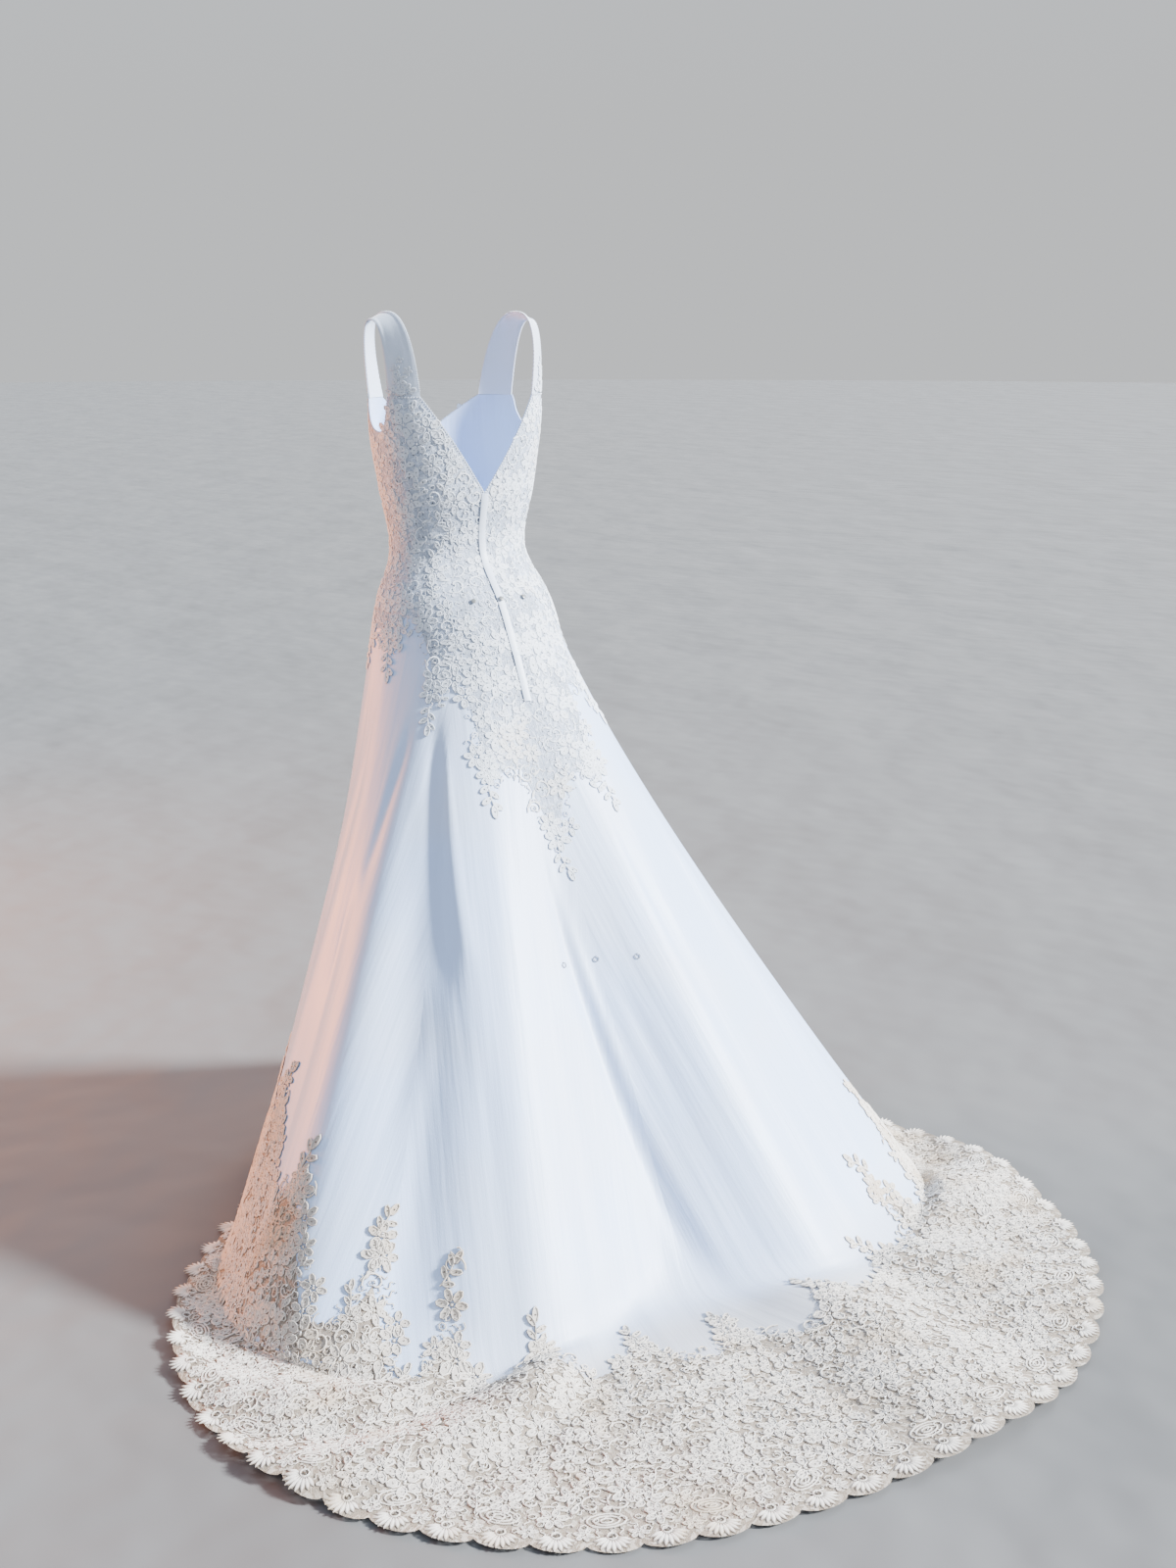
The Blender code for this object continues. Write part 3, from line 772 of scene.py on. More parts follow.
STRAP_PICOTS = 64
PICOT_SWELL = 0.045
EDGE_RAISE = 0.0012
SIDES = ((1, "left"), (-1, "right"))
for side, side_name in SIDES:
    turns, shares = np.linspace(0, np.pi, 4 * STRAP_PICOTS + 1), np.linspace(0, 1, 17)
    turn, share = np.meshgrid(turns, shares, indexing="ij")
    loops = PICOT_SWELL * np.abs(np.sin(turn * STRAP_PICOTS)) * np.sin(turn) ** 0.5
    swollen = share + loops * ((share == 1) * 1.0 - (share == 0) * 1.0)
    small = 0.02
    later, earlier = np.minimum(turn + small, np.pi), np.maximum(turn - small, 0)
    lengthways = strap_point(share, later) - strap_point(share, earlier)
    normals = np.cross(lengthways, strap_point(share + small, turn) - strap_point(share - small, turn))
    normals[[0, -1], :, 2] = 0
    border = np.exp(-((np.minimum(share, 1 - share) - 0.06) / 0.05) ** 2) * np.sin(turn) ** 0.3
    points = strap_point(swollen, turn) + unit(normals) * (EDGE_RAISE * border)[..., None]
    points = points * np.array([side, 1, 1])
    points = points[:, ::-1] if side > 0 else points
    name = "strap_" + side_name
    piece = cloth(name + "_band", points, 0 * turn, STRAP_THICK, trim_satin)
    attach(piece, "root")
    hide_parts(name)

# %% Zip lap
LAP_BASE = GAP + LACE + 2 * GAP
LAP_CROWN = 0.0008
z = np.linspace(BACK_V_Z, ZIP_END_Z, 90)
across = np.linspace(-1, 1, 9)
middle = surface(0.0 * z, fall_of(z))
aside = along_column(0.0 * z, fall_of(z))
out = outward(0.0 * z, fall_of(z))
lift = LAP_BASE + LAP_THICK + LAP_CROWN * (1 - across**2)
points = middle[:, None] + aside[:, None] * (across * LAP_WIDTH / 2)[None, :, None]
points = points + out[:, None] * lift[None, :, None]
piece = cloth("zip_lap_band", points, 0 * points[..., 0], LAP_THICK, trim_satin)
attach(piece, "root")
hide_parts("zip_lap")

# %% [markdown]
# ## Buttons and loops
#
# Three covered buttons sit in a row below the waist, and three thread loops on the train seam below. The
# loops go over the buttons to lift the train. A button starts as a sphere whose underside is pressed
# flat, and a loop as a ring that is pinched where it is sewn in.

# %% Buttons
BUTTON_WIDTH = 0.009
BUTTON_HEIGHT = 0.005
BUTTON_COLUMN = 3.6


def seat(column, fall):
    """A place on the cloth and its normal."""
    column, fall = np.array([float(column)]), np.array([float(fall)])
    return Vector(surface(column, fall)[0]), Vector(outward(column, fall)[0])


def stand(obj, column, fall, lift):
    point, normal = seat(column, fall)
    obj.rotation_euler = normal.to_track_quat("Z", "Y").to_euler()
    obj.location = point + normal * lift
    select_only(obj)
    bpy.ops.object.transform_apply(location=True, rotation=True, scale=True)


for name, column, standoff in (
    ("button_left", BUTTON_COLUMN, GAP + LACE),
    ("button_middle", 0.0, LAP_BASE + LAP_THICK + LAP_CROWN),
    ("button_right", -BUTTON_COLUMN, GAP + LACE),
):
    bpy.ops.object.select_all(action="DESELECT")
    bpy.ops.mesh.primitive_uv_sphere_add(segments=32, ring_count=20, radius=BUTTON_WIDTH / 2)
    piece = bpy.context.object
    piece.name = piece.data.name = name + "_cover"
    for polygon in piece.data.polygons:
        polygon.select = polygon.center.z < -0.1 * BUTTON_WIDTH
    bpy.ops.object.mode_set(mode="EDIT")
    bpy.ops.mesh.select_mode(type="FACE")
    bpy.ops.transform.resize(value=(0.92, 0.92, 0.35), center_override=(0, 0, 0))
    bpy.ops.object.mode_set(mode="OBJECT")
    for polygon in piece.data.polygons:
        polygon.select = polygon.center.z > 0.42 * BUTTON_WIDTH
    bpy.ops.object.mode_set(mode="EDIT")
    bpy.ops.mesh.inset(thickness=0.0004, depth=-0.0003)
    bpy.ops.object.mode_set(mode="OBJECT")
    piece.scale.z = BUTTON_HEIGHT / BUTTON_WIDTH
    stand(piece, column, fall_of(BUTTON_Z), standoff + BUTTON_HEIGHT / 2)
    bpy.ops.object.shade_smooth()
    piece.data.materials.append(button_cloth)
    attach(piece, "root")
    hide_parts(name)
    print(name, "has", len(piece.data.polygons), "faces")

# %% Thread loops
LOOP_RADIUS = 0.0042
THREAD_RADIUS = 0.0007
LOOP_COLUMN = 1.5
LOOP_FALL = 0.50
for name, column in (("loop_left", LOOP_COLUMN), ("loop_middle", 0.0), ("loop_right", -LOOP_COLUMN)):
    bpy.ops.object.select_all(action="DESELECT")
    bpy.ops.mesh.primitive_torus_add(
        major_segments=48, minor_segments=10, major_radius=LOOP_RADIUS, minor_radius=THREAD_RADIUS
    )
    piece = bpy.context.object
    piece.name = piece.data.name = name + "_thread"
    bpy.ops.object.mode_set(mode="EDIT")
    bpy.ops.mesh.select_mode(type="VERT")
    bpy.ops.mesh.select_all(action="DESELECT")
    bpy.ops.object.mode_set(mode="OBJECT")
    for vertex in piece.data.vertices:
        vertex.select = vertex.co.y > 0.55 * LOOP_RADIUS
    bpy.ops.object.mode_set(mode="EDIT")
    bpy.ops.transform.resize(value=(0.45, 1.0, 1.0), center_override=(0, LOOP_RADIUS, 0))
    bpy.ops.object.mode_set(mode="OBJECT")
    stand(piece, column, LOOP_FALL, THREAD_RADIUS + 0.0006)
    bpy.ops.object.shade_smooth()
    piece.data.materials.append(loop_thread)
    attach(piece, "root")
    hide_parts(name)
    print(name, "has", len(piece.data.polygons), "faces")

# %% [markdown]
# ## Where the lace ends
#
# Both laces are cut round their motifs. The bodice lace hangs down in points and the border reaches up
# in peaks, at uneven angles. Between two neighbours the edge draws back, so a table of the angles and one
# depth give the whole outline.

# %% Outline of the lace
LaceEdge = namedtuple("LaceEdge", "angle bodice border")
LACE_EDGE = (
    LaceEdge(0, 0.36, 1.16),
    LaceEdge(12, 0.31, 1.07),
    LaceEdge(24, 0.23, 0.93),
    LaceEdge(44, 0.12, 0.78),
    LaceEdge(60, 0.05, 0.69),
    LaceEdge(90, 0.02, 0.67),
    LaceEdge(140, 0.03, 0.68),
    LaceEdge(180, 0.12, 0.69),
)
POINTS = (-172, -140, -112, -88, -66, -43, -20, 2, 23, 46, 69, 92, 118, 146, 176)
POINT_DEPTH = 0.11
PEAKS = (-171, -150, -131, -114, -96, -80, -66, -53, -40, -29, -20, -9, 1.5, 11.5, 22, 31, 39, 50.5, 63,
         78, 95, 113, 131, 150, 170)
PEAK_DEPTH = 0.10
TRAIN_PEAK_DEPTH = 0.08


def drawn_back(angle, places):
    """0 at each place and 1 half way between two, all round."""
    places = np.array(places, float)
    ring = np.concatenate([[places[-1] - 360], places, [places[0] + 360]])
    i = np.clip(np.searchsorted(ring, angle, side="right") - 1, 0, len(ring) - 2)
    share = (angle - ring[i]) / (ring[i + 1] - ring[i])
    return (1 - np.abs(2 * share - 1)) ** 0.8


def bodice_end(column):
    angle = turned(column, "floor")
    edge = smooth(np.abs(angle), LACE_EDGE, "angle", "bodice")
    return edge - POINT_DEPTH * drawn_back(angle, POINTS) * ease(edge / 0.05)


def trimmed(outline, column, reach, best):
    """An outline without its sharp tips: the best of it over a reach to both sides."""
    return best([outline(column + step) for step in np.linspace(-reach, reach, 5)], axis=0)


def border_start(column):
    angle = turned(column, "floor")
    depth = PEAK_DEPTH + TRAIN_PEAK_DEPTH * ease((60 - np.abs(angle)) / 25)
    return smooth(np.abs(angle), LACE_EDGE, "angle", "border") + depth * drawn_back(angle, PEAKS)


print(len(POINTS), "points on the bodice lace and", len(PEAKS), "peaks on the border")

# %% [markdown]
# ## Lace motifs
#
# Corded lace is built from a few shapes: raised petals, leaves, curled stems and small rings. Each is
# drawn flat, in units of its own size, with its height as the third number. Each has as few faces as
# still read as thread, because it is laid hundreds of times.


# %% Petals, cords and knots
SEED = -1.0
# A filling's fixed tone gives it painted shade, between a cord's dark foot and its crest.
FILLING_TONE = 0.42


def toned(points, tone=None):
    """Adds each point's tone, which sets its painted shade: its share of the shape's height, or one number
    for a seed.
    """
    tones = points[:, 2] / points[:, 2].max() if tone is None else np.full(len(points), tone)
    return np.column_stack([points, tones])


def strip_faces(stations, closed):
    faces = []
    for i in range(stations if closed else stations - 1):
        a, b = 3 * i, 3 * ((i + 1) % stations)
        faces += [(a, a + 1, b + 1, b), (a + 1, a + 2, b + 2, b + 1)]
    return np.array(faces)


def moved(shape, turn=0.0, x=0.0, y=0.0, size=1.0):
    points, faces = shape
    cos, sin = math.cos(turn) * size, math.sin(turn) * size
    along, up = points[:, 0], points[:, 1]
    return np.column_stack([x + along * cos - up * sin, y + along * sin + up * cos, points[:, 2:]]), faces


def joined(*parts):
    points, faces, count = [], [], 0
    for part, part_faces in parts:
        points.append(part)
        faces.append(part_faces + count)
        count += len(part)
    return np.concatenate(points), np.concatenate(faces)


def petal(length, width, height=0.10):
    """A leaf with a raised rib that points up."""
    along = np.array([0.0, 0.3, 0.65, 1.0]) * length
    half = np.array([0.25, 1.0, 0.85, 0.12]) * width / 2
    rib = np.array([0.5, 1.0, 0.9, 0.35]) * height
    rows = [[(-w, a, 0.0), (0.0, a, h), (w, a, 0.0)] for a, w, h in zip(along, half, rib)]
    return toned(np.array(rows).reshape(-1, 3)), strip_faces(len(along), False)


def cord(path, width, height=0.09, closed=False):
    """A raised cord along a flat path."""
    path = np.array(path, float)
    ahead = np.roll(path, -1, axis=0) - np.roll(path, 1, axis=0) if closed else np.gradient(path, axis=0)
    aside = unit(np.stack([-ahead[:, 1], ahead[:, 0]], -1)) * width / 2
    lines = ((path + aside, 0.0), (path, height), (path - aside, 0.0))
    rows = [np.column_stack([line, np.full(len(path), level)]) for line, level in lines]
    return toned(np.stack(rows, 1).reshape(-1, 3)), strip_faces(len(path), closed)


def ring_path(radius, stretch=1.0, count=8):
    angle = np.linspace(0, 2 * np.pi, count, endpoint=False)
    return np.stack([radius * np.cos(angle), radius * stretch * np.sin(angle)], -1)


def knot(radius=0.12, height=0.14, tone=None):
    """A tiny dome of thread, or a seed bead."""
    rim = np.column_stack([ring_path(radius, 1.0, 6), np.zeros(6)])
    points = np.concatenate([rim, [(0, 0, height)]])
    return toned(points, tone), np.array([(i, (i + 1) % 6, 6, 6) for i in range(6)])


def filled_loop(radius, stretch, count, width):
    """A corded outline with a thin filling and a seed in it."""
    path = ring_path(radius, stretch, count)
    filling = np.column_stack([path, np.full(count, 0.015)])
    filling = np.concatenate([filling, [(0, 0, 0.03)]])
    fan_faces = np.array([(i, (i + 1) % count, count, count) for i in range(count)])
    outline, seed = cord(path, width, closed=True), knot(0.075, 0.09, SEED)
    return joined(outline, (toned(filling, FILLING_TONE), fan_faces), seed)


# %% Whole motifs, one unit in radius
CORD_WIDTH = 0.10


def flower(petals):
    parts = [knot(0.13, 0.11), knot(0.05, 0.15, SEED)]
    for i in range(petals):
        turn = 2 * math.pi * i / petals
        loop = filled_loop(1.05 / petals + 0.05, 1.75 * petals / 6, 7, CORD_WIDTH)
        parts.append(moved(moved(loop, 0.0, 0.0, 0.60), turn))
    return joined(*parts)


def spray(bend):
    """A curved stem with corded leaves on both sides and one at its tip."""
    t = np.linspace(0, 1, 6)
    parts = [cord(np.stack([bend * t**2, -1.0 + 1.3 * t], -1), CORD_WIDTH)]
    for at, side in ((0.1, -1), (0.35, 1), (0.65, -1), (0.9, 1)):
        leaf = moved(filled_loop(0.15, 2.2, 7, 0.10), 0.0, 0.0, 0.36)
        parts.append(moved(leaf, -side * 0.9, bend * at**2, -1.0 + 1.3 * at))
    tip = moved(filled_loop(0.17, 2.3, 8, 0.10), 0.0, 0.0, 0.42)
    parts.append(moved(tip, -0.4 * bend, bend, 0.3))
    return joined(*parts)


def scroll(way):
    """A curl of cord with a smaller one beside it."""
    t = np.linspace(0, 1, 12)
    radius, angle = 0.75 * (1 - 0.8 * t), way * (0.6 + 5.2 * t)
    curl = np.stack([radius * np.cos(angle), radius * np.sin(angle)], -1)
    small = cord(curl[::2] * 0.55, 0.10)
    return joined(cord(curl, 0.13), knot(0.06, 0.08, SEED), moved(small, 2.6, 0.55 * way, -0.75),
                  moved(petal(0.7, 0.22, 0.07), 1.2 * way, 0.2, 0.5))


def curls(way):
    """A short wavy cord with a seed at its end, to fill gaps."""
    t = np.linspace(0, 1, 7)
    wave = np.stack([-0.9 + 1.5 * t, 0.38 * way * np.sin(6.0 * t)], -1)
    return joined(cord(wave, 0.24, 0.14), moved(knot(0.14, 0.18, SEED), 0.0, 0.82, 0.1))


def eyelet():
    """A small ring of cord round a seed."""
    return joined(cord(ring_path(0.55, 1.2, 6), 0.24, 0.14, True), knot(0.16, 0.16, SEED))


def ovals():
    """Three ovals, one inside the other."""
    sizes = ((0.50, 14), (0.33, 12), (0.16, 8))
    return joined(*(cord(ring_path(radius, 1.9, count), 0.12, 0.06, True) for radius, count in sizes))


def fan(ribs):
    """Rounded ribs that spread down into a scallop from a small ring."""
    parts = [cord(ring_path(0.20, 1.0, 8), 0.10, 0.07, True), knot(0.09, 0.09, SEED)]
    for i in range(ribs):
        share = i / (ribs - 1)
        rib = moved(petal(0.58 + 0.16 * math.sin(math.pi * share), 0.26, 0.09), 0.0, 0.0, 0.24)
        parts.append(moved(rib, math.pi + 1.2 * (1 - 2 * share)))
    return joined(*parts)


MOTIFS = ((flower(6), 0.30), (flower(5), 0.20), (spray(0.35), 0.12), (spray(-0.35), 0.12),
          (scroll(1), 0.13), (scroll(-1), 0.13))
UPRIGHT = (2, 3)
FILLERS = ((curls(1), 0.33), (curls(-1), 0.33), (eyelet(), 0.34))
print("Faces of each motif:", [len(shape[1]) for shape, _ in MOTIFS + FILLERS])

# %% [markdown]
# ## Laying the motifs
#
# A motif's anchor is a column and a height in metres above the edge that it belongs to. Its points are
# turned into columns and heights near the anchor, and then put on the surface, so each leaf bends with
# the cloth. Joined into one mesh, hundreds of them stay one light piece.


# %% Lay flat shapes on the cloth
def on_cloth(fall_at):
    """The points of the satin at columns and heights, where fall_at turns a height into a fall."""
    return lambda column, height: surface(column, fall_at(column, height))


def slopes(place, column, height):
    """How far the place moves for each column round and each metre up."""
    round_by, up_by = 0.02, 0.001
    across = (place(column + round_by, height) - place(column - round_by, height)) / (2 * round_by)
    upward = (place(column, height + up_by) - place(column, height - up_by)) / (2 * up_by)
    return across, upward


def lay(flat, column, height, place, lift):
    """Points at flat metres (across, up, out) from anchors on the cloth."""
    across, upward = slopes(place, column, height)
    side = unit(across)
    shear = (upward * side).sum(-1)
    rise = np.linalg.norm(upward - side * shear[..., None], axis=-1)
    up = flat[..., 1] / np.maximum(rise, 0.3)[..., None]
    over = (flat[..., 0] - shear[..., None] * up) / np.linalg.norm(across, axis=-1)[..., None]
    column, height = column[..., None] + over, height[..., None] + up
    across, upward = slopes(place, column, height)
    return place(column, height) + unit(np.cross(upward, across)) * (lift + flat[..., 2])[..., None]


class Lacework:
    """A growing mesh of motifs."""

    def __init__(self, place, lift, relief=1.0):
        self.place, self.lift, self.relief = place, lift, relief
        self.points, self.rise, self.faces, self.count = [], [], [], 0

    def add(self, shape, column, height, size, turn):
        """Lays copies of a shape at the anchors, each with its size in metres and its turn in radians."""
        points, faces = shape
        height, size, turn = (value + 0 * column for value in (height, size, turn))
        cos, sin = np.cos(turn)[:, None], np.sin(turn)[:, None]
        x, y, out = (points[:, i] * size[:, None] for i in range(3))
        flat = np.stack([x * cos - y * sin, x * sin + y * cos, out * self.relief], -1)
        laid = lay(flat, column, height, self.place, self.lift)
        copies = np.arange(len(column))[:, None, None] * len(points)
        self.points.append(laid.reshape(-1, 3))
        self.rise.append(np.tile(points[:, 3], len(column)))
        self.faces.append((faces[None] + copies + self.count).reshape(-1, 4))
        self.count += laid.shape[0] * laid.shape[1]

    def finish(self, name, material):
        faces = np.concatenate(self.faces)
        triangles = faces[:, 2] == faces[:, 3]
        mesh_faces = [face[:3] if three else face for face, three in zip(faces.tolist(), triangles)]
        obj = new_object(name, np.concatenate(self.points), mesh_faces, material)
        # The tones are kept as "rise", which the thread finish turns into painted shade.
        add_attribute(obj.data, "rise", np.concatenate(self.rise))
        print(name, "has", 2 * len(faces) - int(triangles.sum()), "triangles")
        return obj


def scatter(chance, start, end, low, high, spacing, fall_at):
    """Anchors in rows, evenly spaced along each row and then moved a little."""
    columns, heights = [], []
    for row, height in enumerate(np.arange(low, high, spacing * 0.87)):
        length = even_columns(start, end, 2, lambda c: fall_at(c, height + 0 * c))[1]
        count = max(2, int(length / spacing))
        line, _ = even_columns(start, end, 2 * count + 1, lambda c: fall_at(c, height + 0 * c))
        columns.append(line[1::2] if row % 2 else line[2:-1:2])
        heights.append(np.full(len(columns[-1]), height))
    columns, heights = np.concatenate(columns), np.concatenate(heights)
    heights = heights + chance.uniform(-0.2, 0.2, len(heights)) * spacing
    columns = columns + chance.uniform(-0.15, 0.15, len(columns)) * spacing / 0.10
    inside = (columns > start + 0.05) & (columns < end - 0.05)
    return columns[inside], heights[inside]


def sprigs(work, chance, angles, lace, height_of, size, way):
    """A large spray at each tip, with a flower at its foot. Way is 1 for upward tips and -1 for others."""
    columns = np.linspace(-HALF_ROUND, HALF_ROUND, 881)
    at = np.array([columns[np.argmin(np.abs(turned(columns, "floor") - angle))] for angle in angles])
    at = np.where(at < lace.start, at + 2 * HALF_ROUND, at)
    at = at[(at > lace.start + 0.3) & (at < lace.end - 0.3)]
    height = height_of(at)
    turn = chance.uniform(-0.25, 0.25, len(at)) + (0 if way > 0 else np.pi)
    work.add(spray(0.2), at, height - way * 0.2 * size, size * chance.uniform(0.9, 1.2, len(at)), turn)
    work.add(flower(6), at, height - way * 1.9 * size, size * chance.uniform(0.8, 1.0, len(at)), turn)


def embroider(work, chance, column, height, size, motifs, upright=()):
    """Gives each anchor a motif, a size and a turn of its own."""
    kinds = chance.choice(len(motifs), len(column), p=[share for _, share in motifs])
    for kind, (shape, _) in enumerate(motifs):
        here = kinds == kind
        if not here.any():
            continue
        spread = 0.7 if kind in upright else np.pi
        turn = chance.uniform(-spread, spread, here.sum())
        work.add(shape, column[here], height[here], size * chance.uniform(0.8, 1.15, here.sum()), turn)


print("Ready to lay motifs")

# %% [markdown]
# ## Grounds, fillings and beads
#
# Both laces are made alike. A net lies a hair over the satin, large motifs are scattered on it, a spray
# hangs at each tip of its outline, and small curls fill the gaps. Beads are sewn on beside some motifs.

# %% What both laces share
Border = namedtuple("Border", "name start end scallops cut")
Beads = namedtuple("Beads", "share size lift aside up")
MOTIF_LIFT = GAP + LACE
NET_MARGIN = 0.014 / (HIP_Z - FLOOR_Z)
EDGE_MARGIN = 0.006 / (HIP_Z - FLOOR_Z)
FILLER_SHARE = 0.46
FILLER_SIZE = 0.36


def side_of(lace):
    return lace.name.rpartition("_")[2]


def net_cloth(name, column, fall, material):
    """A net just over the satin, with a hair's gap between it and its neighbours."""
    column = np.broadcast_to(column, fall.shape)
    points = surface(column, fall) + outward(column, fall) * (GAP + LACE / 2)
    sideways = along_column(column, fall)
    points[:, 0] += sideways[:, 0] * GAP / 2
    points[:, -1] -= sideways[:, -1] * GAP / 2
    return cloth(name, points, fall, 0.0, material)


def fill(work, chance, lace, fall_at, inside, spans, spacing, size, tips):
    """Large motifs, sprays at the tips, and small motifs in the gaps. Gives the large ones' anchors."""
    column, height = scatter(chance, lace.start, lace.end, *spans[0], spacing, fall_at)
    keep = inside(column, height, False)
    column, height = column[keep], height[keep]
    embroider(work, chance, column, height, size, MOTIFS, UPRIGHT)
    angles, height_of, tip_size, way = tips
    sprigs(work, chance, angles, lace, height_of, tip_size, way)
    small = scatter(chance, lace.start, lace.end, *spans[1], spacing * FILLER_SHARE, fall_at)
    keep = inside(*small, True)
    embroider(work, chance, small[0][keep], small[1][keep], size * FILLER_SIZE, FILLERS)
    return column, height


def sew_beads(chance, lace, fall_at, column, height, beads):
    some = chance.random(len(column)) < beads.share
    work = Lacework(on_cloth(fall_at), MOTIF_LIFT + beads.lift)
    work.add(knot(1.0, 1.3), column[some] + beads.aside, height[some] + beads.up, beads.size, 0.0)
    piece = work.finish(lace.name + "_beads", bead_gloss)
    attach(piece, "root")
    return piece


def declare_lace(ground, motifs, lace):
    for piece in (ground, motifs):
        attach(piece, "root")
    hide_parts(lace.name)


print("Ready to lay lace")

# %% [markdown]
# ## Bodice lace
#
# The bodice lace covers the satin from the neckline to its points below the hips, and a few motifs climb
# the backs of the straps. Its relief is low, and it leaves the buttons in sight. A row of tiny knots
# edges the neck.

# %% Sizes of the bodice lace
BODICE_SEED = 11
BODICE_SPACING = 0.0320
BODICE_SIZE = 0.0205
BODICE_SPRAY = 0.024
BODICE_RELIEF = 0.62
BODICE_SPANS = ((-0.34, 0.42), (-0.34, 0.42))
BODICE_BEADS = Beads(0.55, 0.0013, 0.0006, 0.01, 0.0)
BUTTON_CLEARING = 0.020
COLUMN_METRES = 0.0115
NECK_PICOT = 0.0045
NECK_WAVE = 0.0014
NECK_KNOT = 0.0016
NECK_KNOT_DROP = 0.0012
BODICE_LACES = (
    Border("bodice_lace_left", 0, 13, 0, Cut(0.30, 0.62, 0.095)),
    Border("bodice_lace_right", -13, 0, 0, Cut(0.30, 0.63, 0.095)),
    Border("bodice_lace_front", 13, 31, 0, Cut(0.50, 0.40, 0.14)),
)
print(len(BODICE_LACES), "lengths of bodice lace")


# %% The outline and ground of the bodice lace
def bodice_fall(column, height):
    """The fall at a height above the hips."""
    return fall_of(HIP_Z + height)


def bodice_tip(column):
    """How high above the hips the lace ends, which is below them at its points."""
    return -bodice_end(column) * (HIP_Z - FLOOR_Z)


def neck_fall(column):
    return fall_of(neckline_z(column))


def in_bodice_lace(column, height, small):
    """True where a motif fits between the neckline and the points, clear of the buttons."""
    from_neck, from_end, clearing = (1.0, 1.0, 0.5) if small else (2.2, 0.0, 1.0)
    fall = bodice_fall(column, height)
    low_enough = fall > neck_fall(column) + from_neck * EDGE_MARGIN
    high_enough = fall < bodice_end(column) - from_end * EDGE_MARGIN
    aside = (np.abs(column) - BUTTON_COLUMN) * COLUMN_METRES
    clear = np.hypot(aside, height - (BUTTON_Z - HIP_Z)) > clearing * BUTTON_CLEARING
    return low_enough & high_enough & clear


def bodice_ground(lace):
    """A net with a finely waved neck edge, whose lower edge has no thin tips."""
    column, _ = even_columns(lace.start, lace.end, 20 * (lace.end - lace.start) + 1, neck_fall)
    top_z = neckline_z(column)
    run = run_along(torso(column, top_z))
    top = fall_of(top_z + NECK_WAVE * np.abs(np.sin(np.pi * run / NECK_PICOT)))
    end = trimmed(bodice_end, column, 0.45, np.min) - NET_MARGIN
    shares = np.linspace(0, 1, 48)[:, None]
    return net_cloth(lace.name + "_net", column, top + (end - top) * shares, bodice_net)


print("The bodice lace ends", round(float(-bodice_tip(np.array(0.0))), 3), "m below the hips at centre back")

# %% Up the straps and along the neck
Climber = namedtuple("Climber", "share height size turn")
CLIMBERS = (
    Climber(0.28, 0.004, 0.015, 0.3),
    Climber(0.72, 0.002, 0.016, 0.9),
    Climber(0.50, 0.018, 0.012, 0.1),
    Climber(0.22, 0.030, 0.008, 0.5),
    Climber(0.60, 0.034, 0.009, 1.1),
    Climber(0.42, 0.050, 0.006, 0.2),
)
FULL_FLOWER = 0.010
STRAP_SPAN = 0.137


def on_strap(side):
    """The points of a strap at shares of its width and heights in metres, with the outside facing out."""

    def place(share, height):
        share = share if side > 0 else 1 - share
        return strap_point(share, height / STRAP_SPAN) * np.array([side, 1, 1])

    return place


def climb(work, side):
    """Flowers that run up the back of a strap, smaller and smaller."""
    plain = work.place
    work.place = on_strap(side)
    for climber in CLIMBERS:
        shape = flower(6 if climber.size > FULL_FLOWER else 5)
        work.add(shape, np.array([climber.share]), climber.height, climber.size, climber.turn)
    work.place = plain


def edge_neck(work, lace):
    """A row of knots just under the neckline."""
    column, length = even_columns(lace.start, lace.end, 400, neck_fall)
    column = np.interp(np.arange(0, length, NECK_PICOT), np.linspace(0, length, 400), column)
    work.add(knot(1.0, 1.1), column, neckline_z(column) - HIP_Z - NECK_KNOT_DROP, NECK_KNOT, 0.0)


print(len(CLIMBERS), "flowers climb each strap")

# %% Lay the bodice lace
for number, lace in enumerate(BODICE_LACES):
    chance = np.random.default_rng(BODICE_SEED + number)
    ground = bodice_ground(lace)
    work = Lacework(on_cloth(bodice_fall), MOTIF_LIFT, BODICE_RELIEF)
    tips = (POINTS, bodice_tip, BODICE_SPRAY, -1)
    column, height = fill(work, chance, lace, bodice_fall, in_bodice_lace, BODICE_SPANS,
                          BODICE_SPACING, BODICE_SIZE, tips)
    for side, side_name in SIDES:
        if side_of(lace) == side_name:
            climb(work, side)
    edge_neck(work, lace)
    motifs = work.finish(lace.name + "_motifs", bodice_thread)
    beads = sew_beads(chance, lace, bodice_fall, column, height, BODICE_BEADS)
    declare_lace(ground, motifs, lace)

# %% [markdown]
# ## Picot edges of the straps
#
# Tiny knots of thread stand side by side along both edges of a strap. From a step away they read as the
# fine toothed edge that such trim has.

# %% Picots on the straps
PICOT_STEP = 0.0034
PICOT_RADIUS = 0.0014
STRAP_END_TURN = 0.03
for side, side_name in SIDES:
    place = on_strap(side)
    work = Lacework(place, 0.0)
    for share in (0.0, 1.0):
        turn = np.linspace(STRAP_END_TURN, np.pi - STRAP_END_TURN, 400)
        run = run_along(place(share + 0 * turn, turn * STRAP_SPAN))
        turn = np.interp(np.arange(0, run[-1], PICOT_STEP), run, turn)
        work.add(knot(1.0, 1.1), share + 0 * turn, turn * STRAP_SPAN, PICOT_RADIUS, 0.0)
    piece = work.finish("strap_" + side_name + "_picots", bodice_thread)
    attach(piece, "root")

# %% [markdown]
# ## Border lace
#
# The border follows the hem and the train. At its edge are even scallops, each with a fan of ribs, and
# above them a row of nested ovals and flowers in turn. Then flowers, leaves and curls lie close together,
# and end in peaks.

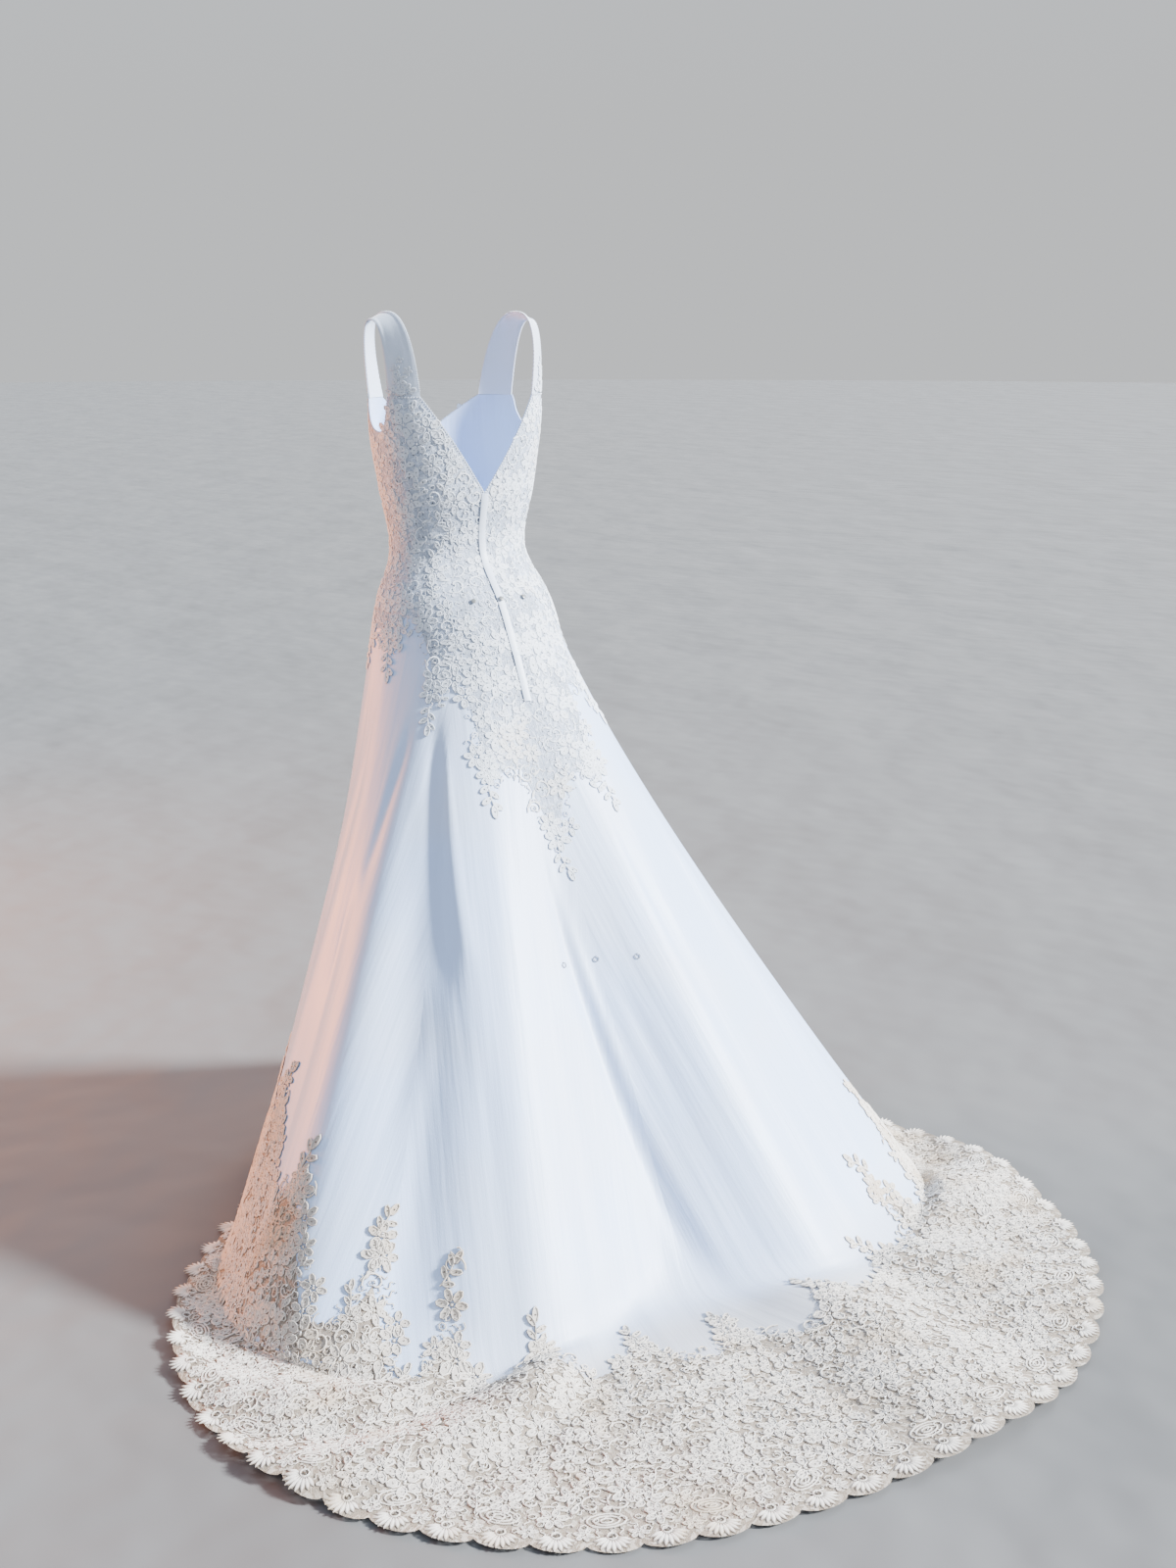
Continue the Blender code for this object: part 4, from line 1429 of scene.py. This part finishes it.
# %% Sizes of the border lace
HEM_SEED = 31
HEM_SPACING = 0.0350
HEM_SIZE = 0.0225
HEM_SPRAY = 0.027
HEM_SPANS = ((0.088, 0.70), (0.036, 0.66))
HEM_BEADS = Beads(0.45, 0.0016, 0.0008, 0.0, 0.003)
HEM_LACES = (
    Border("hem_lace_left", 0, 13, 25, Cut(1.75, 0.42, 0.44)),
    Border("hem_lace_right", -13, 0, 25, Cut(1.70, 0.37, 0.37)),
    Border("hem_lace_front", 13, 31, 12, Cut(1.26, 0.27, 0.25)),
)
POINTS_PER_SCALLOP = 14
FAN_SHARE = 0.44
FAN_REACH = 0.031
LEAST_NET = 0.05
print(sum(lace.scallops for lace in HEM_LACES), "scallops in all")


# %% The outline and ground of the border lace
def lace_edge(column):
    return 2.0 + 0 * column


def peak_height(column):
    """How far the lace reaches up from its edge, in metres along the cloth."""
    heights = np.linspace(0.1, 0.75, 200)
    return np.array([np.interp(-border_start(one), -hem_fall(one, heights), heights) for one in column])


def in_border_lace(column, height, small):
    """True where a motif fits below the peaks."""
    return hem_fall(column, height) > border_start(column) + (NET_MARGIN if small else 0.0)


def border_ground(lace):
    """A net with a scalloped edge. It gives the edge's length too."""
    count = lace.scallops * POINTS_PER_SCALLOP + 1
    column, length = even_columns(lace.start, lace.end, count, lace_edge)
    reach = np.abs(np.sin(np.pi * np.arange(count) / POINTS_PER_SCALLOP)) ** 0.6
    end = hem_fall(column, SCALLOP_DEPTH * (1 - reach))
    start = np.minimum(trimmed(border_start, column, 0.25, np.max) + NET_MARGIN, end - LEAST_NET)
    shares = np.linspace(0, 1, 44)[:, None]
    return net_cloth(lace.name + "_net", column, start + (end - start) * shares, hem_net), length


def trim_scallops(work, chance, lace, length):
    """A fan in each scallop and a small flower between two, with ovals and flowers in turn above."""
    places, _ = even_columns(lace.start, lace.end, 2 * lace.scallops + 1, lace_edge)
    middles, corners = places[1::2], places[2:-1:2]
    odd, even = middles[::2], middles[1::2]
    reach = min(FAN_SHARE * length / lace.scallops, FAN_REACH)
    work.add(fan(9), middles, 0.030, reach, 0.0)
    work.add(ovals(), odd, 0.060, 0.026, np.pi / 2 + chance.uniform(-0.5, 0.5, len(odd)))
    work.add(flower(6), even, 0.062, 0.020, chance.uniform(0, 1, len(even)))
    work.add(flower(6), corners, 0.034, 0.013, chance.uniform(0, 1, len(corners)))


print("At centre back the border is", round(float(peak_height(np.array([0.0]))[0]), 3), "m deep")

# %% Lay the border lace
for number, lace in enumerate(HEM_LACES):
    chance = np.random.default_rng(HEM_SEED + number)
    ground, length = border_ground(lace)
    work = Lacework(on_cloth(hem_fall), MOTIF_LIFT)
    trim_scallops(work, chance, lace, length)
    tips = (PEAKS, peak_height, HEM_SPRAY, 1)
    column, height = fill(work, chance, lace, hem_fall, in_border_lace, HEM_SPANS,
                          HEM_SPACING, HEM_SIZE, tips)
    motifs = work.finish(lace.name + "_motifs", hem_thread)
    beads = sew_beads(chance, lace, hem_fall, column, height, HEM_BEADS)
    declare_lace(ground, motifs, lace)

# %% [markdown]
# ## The floor
#
# A plain pale disc, a hair below the cloth, catches its shadow. It is a stage, so it isn't exported.

# %% Floor
bpy.ops.object.select_all(action="DESELECT")
FLOOR_RADIUS = 40
FLOOR_DROP = 0.0008
middle = (0, 0, FLOOR_Z - FLOOR_DROP)
bpy.ops.mesh.primitive_circle_add(vertices=96, radius=FLOOR_RADIUS, fill_type="NGON", location=middle)
floor = bpy.context.object
floor.name = "floor"
bpy.ops.object.transform_apply(location=True, rotation=True, scale=True)
floor.data.materials.append(floor_finish)
print("Floor at", FLOOR_Z)
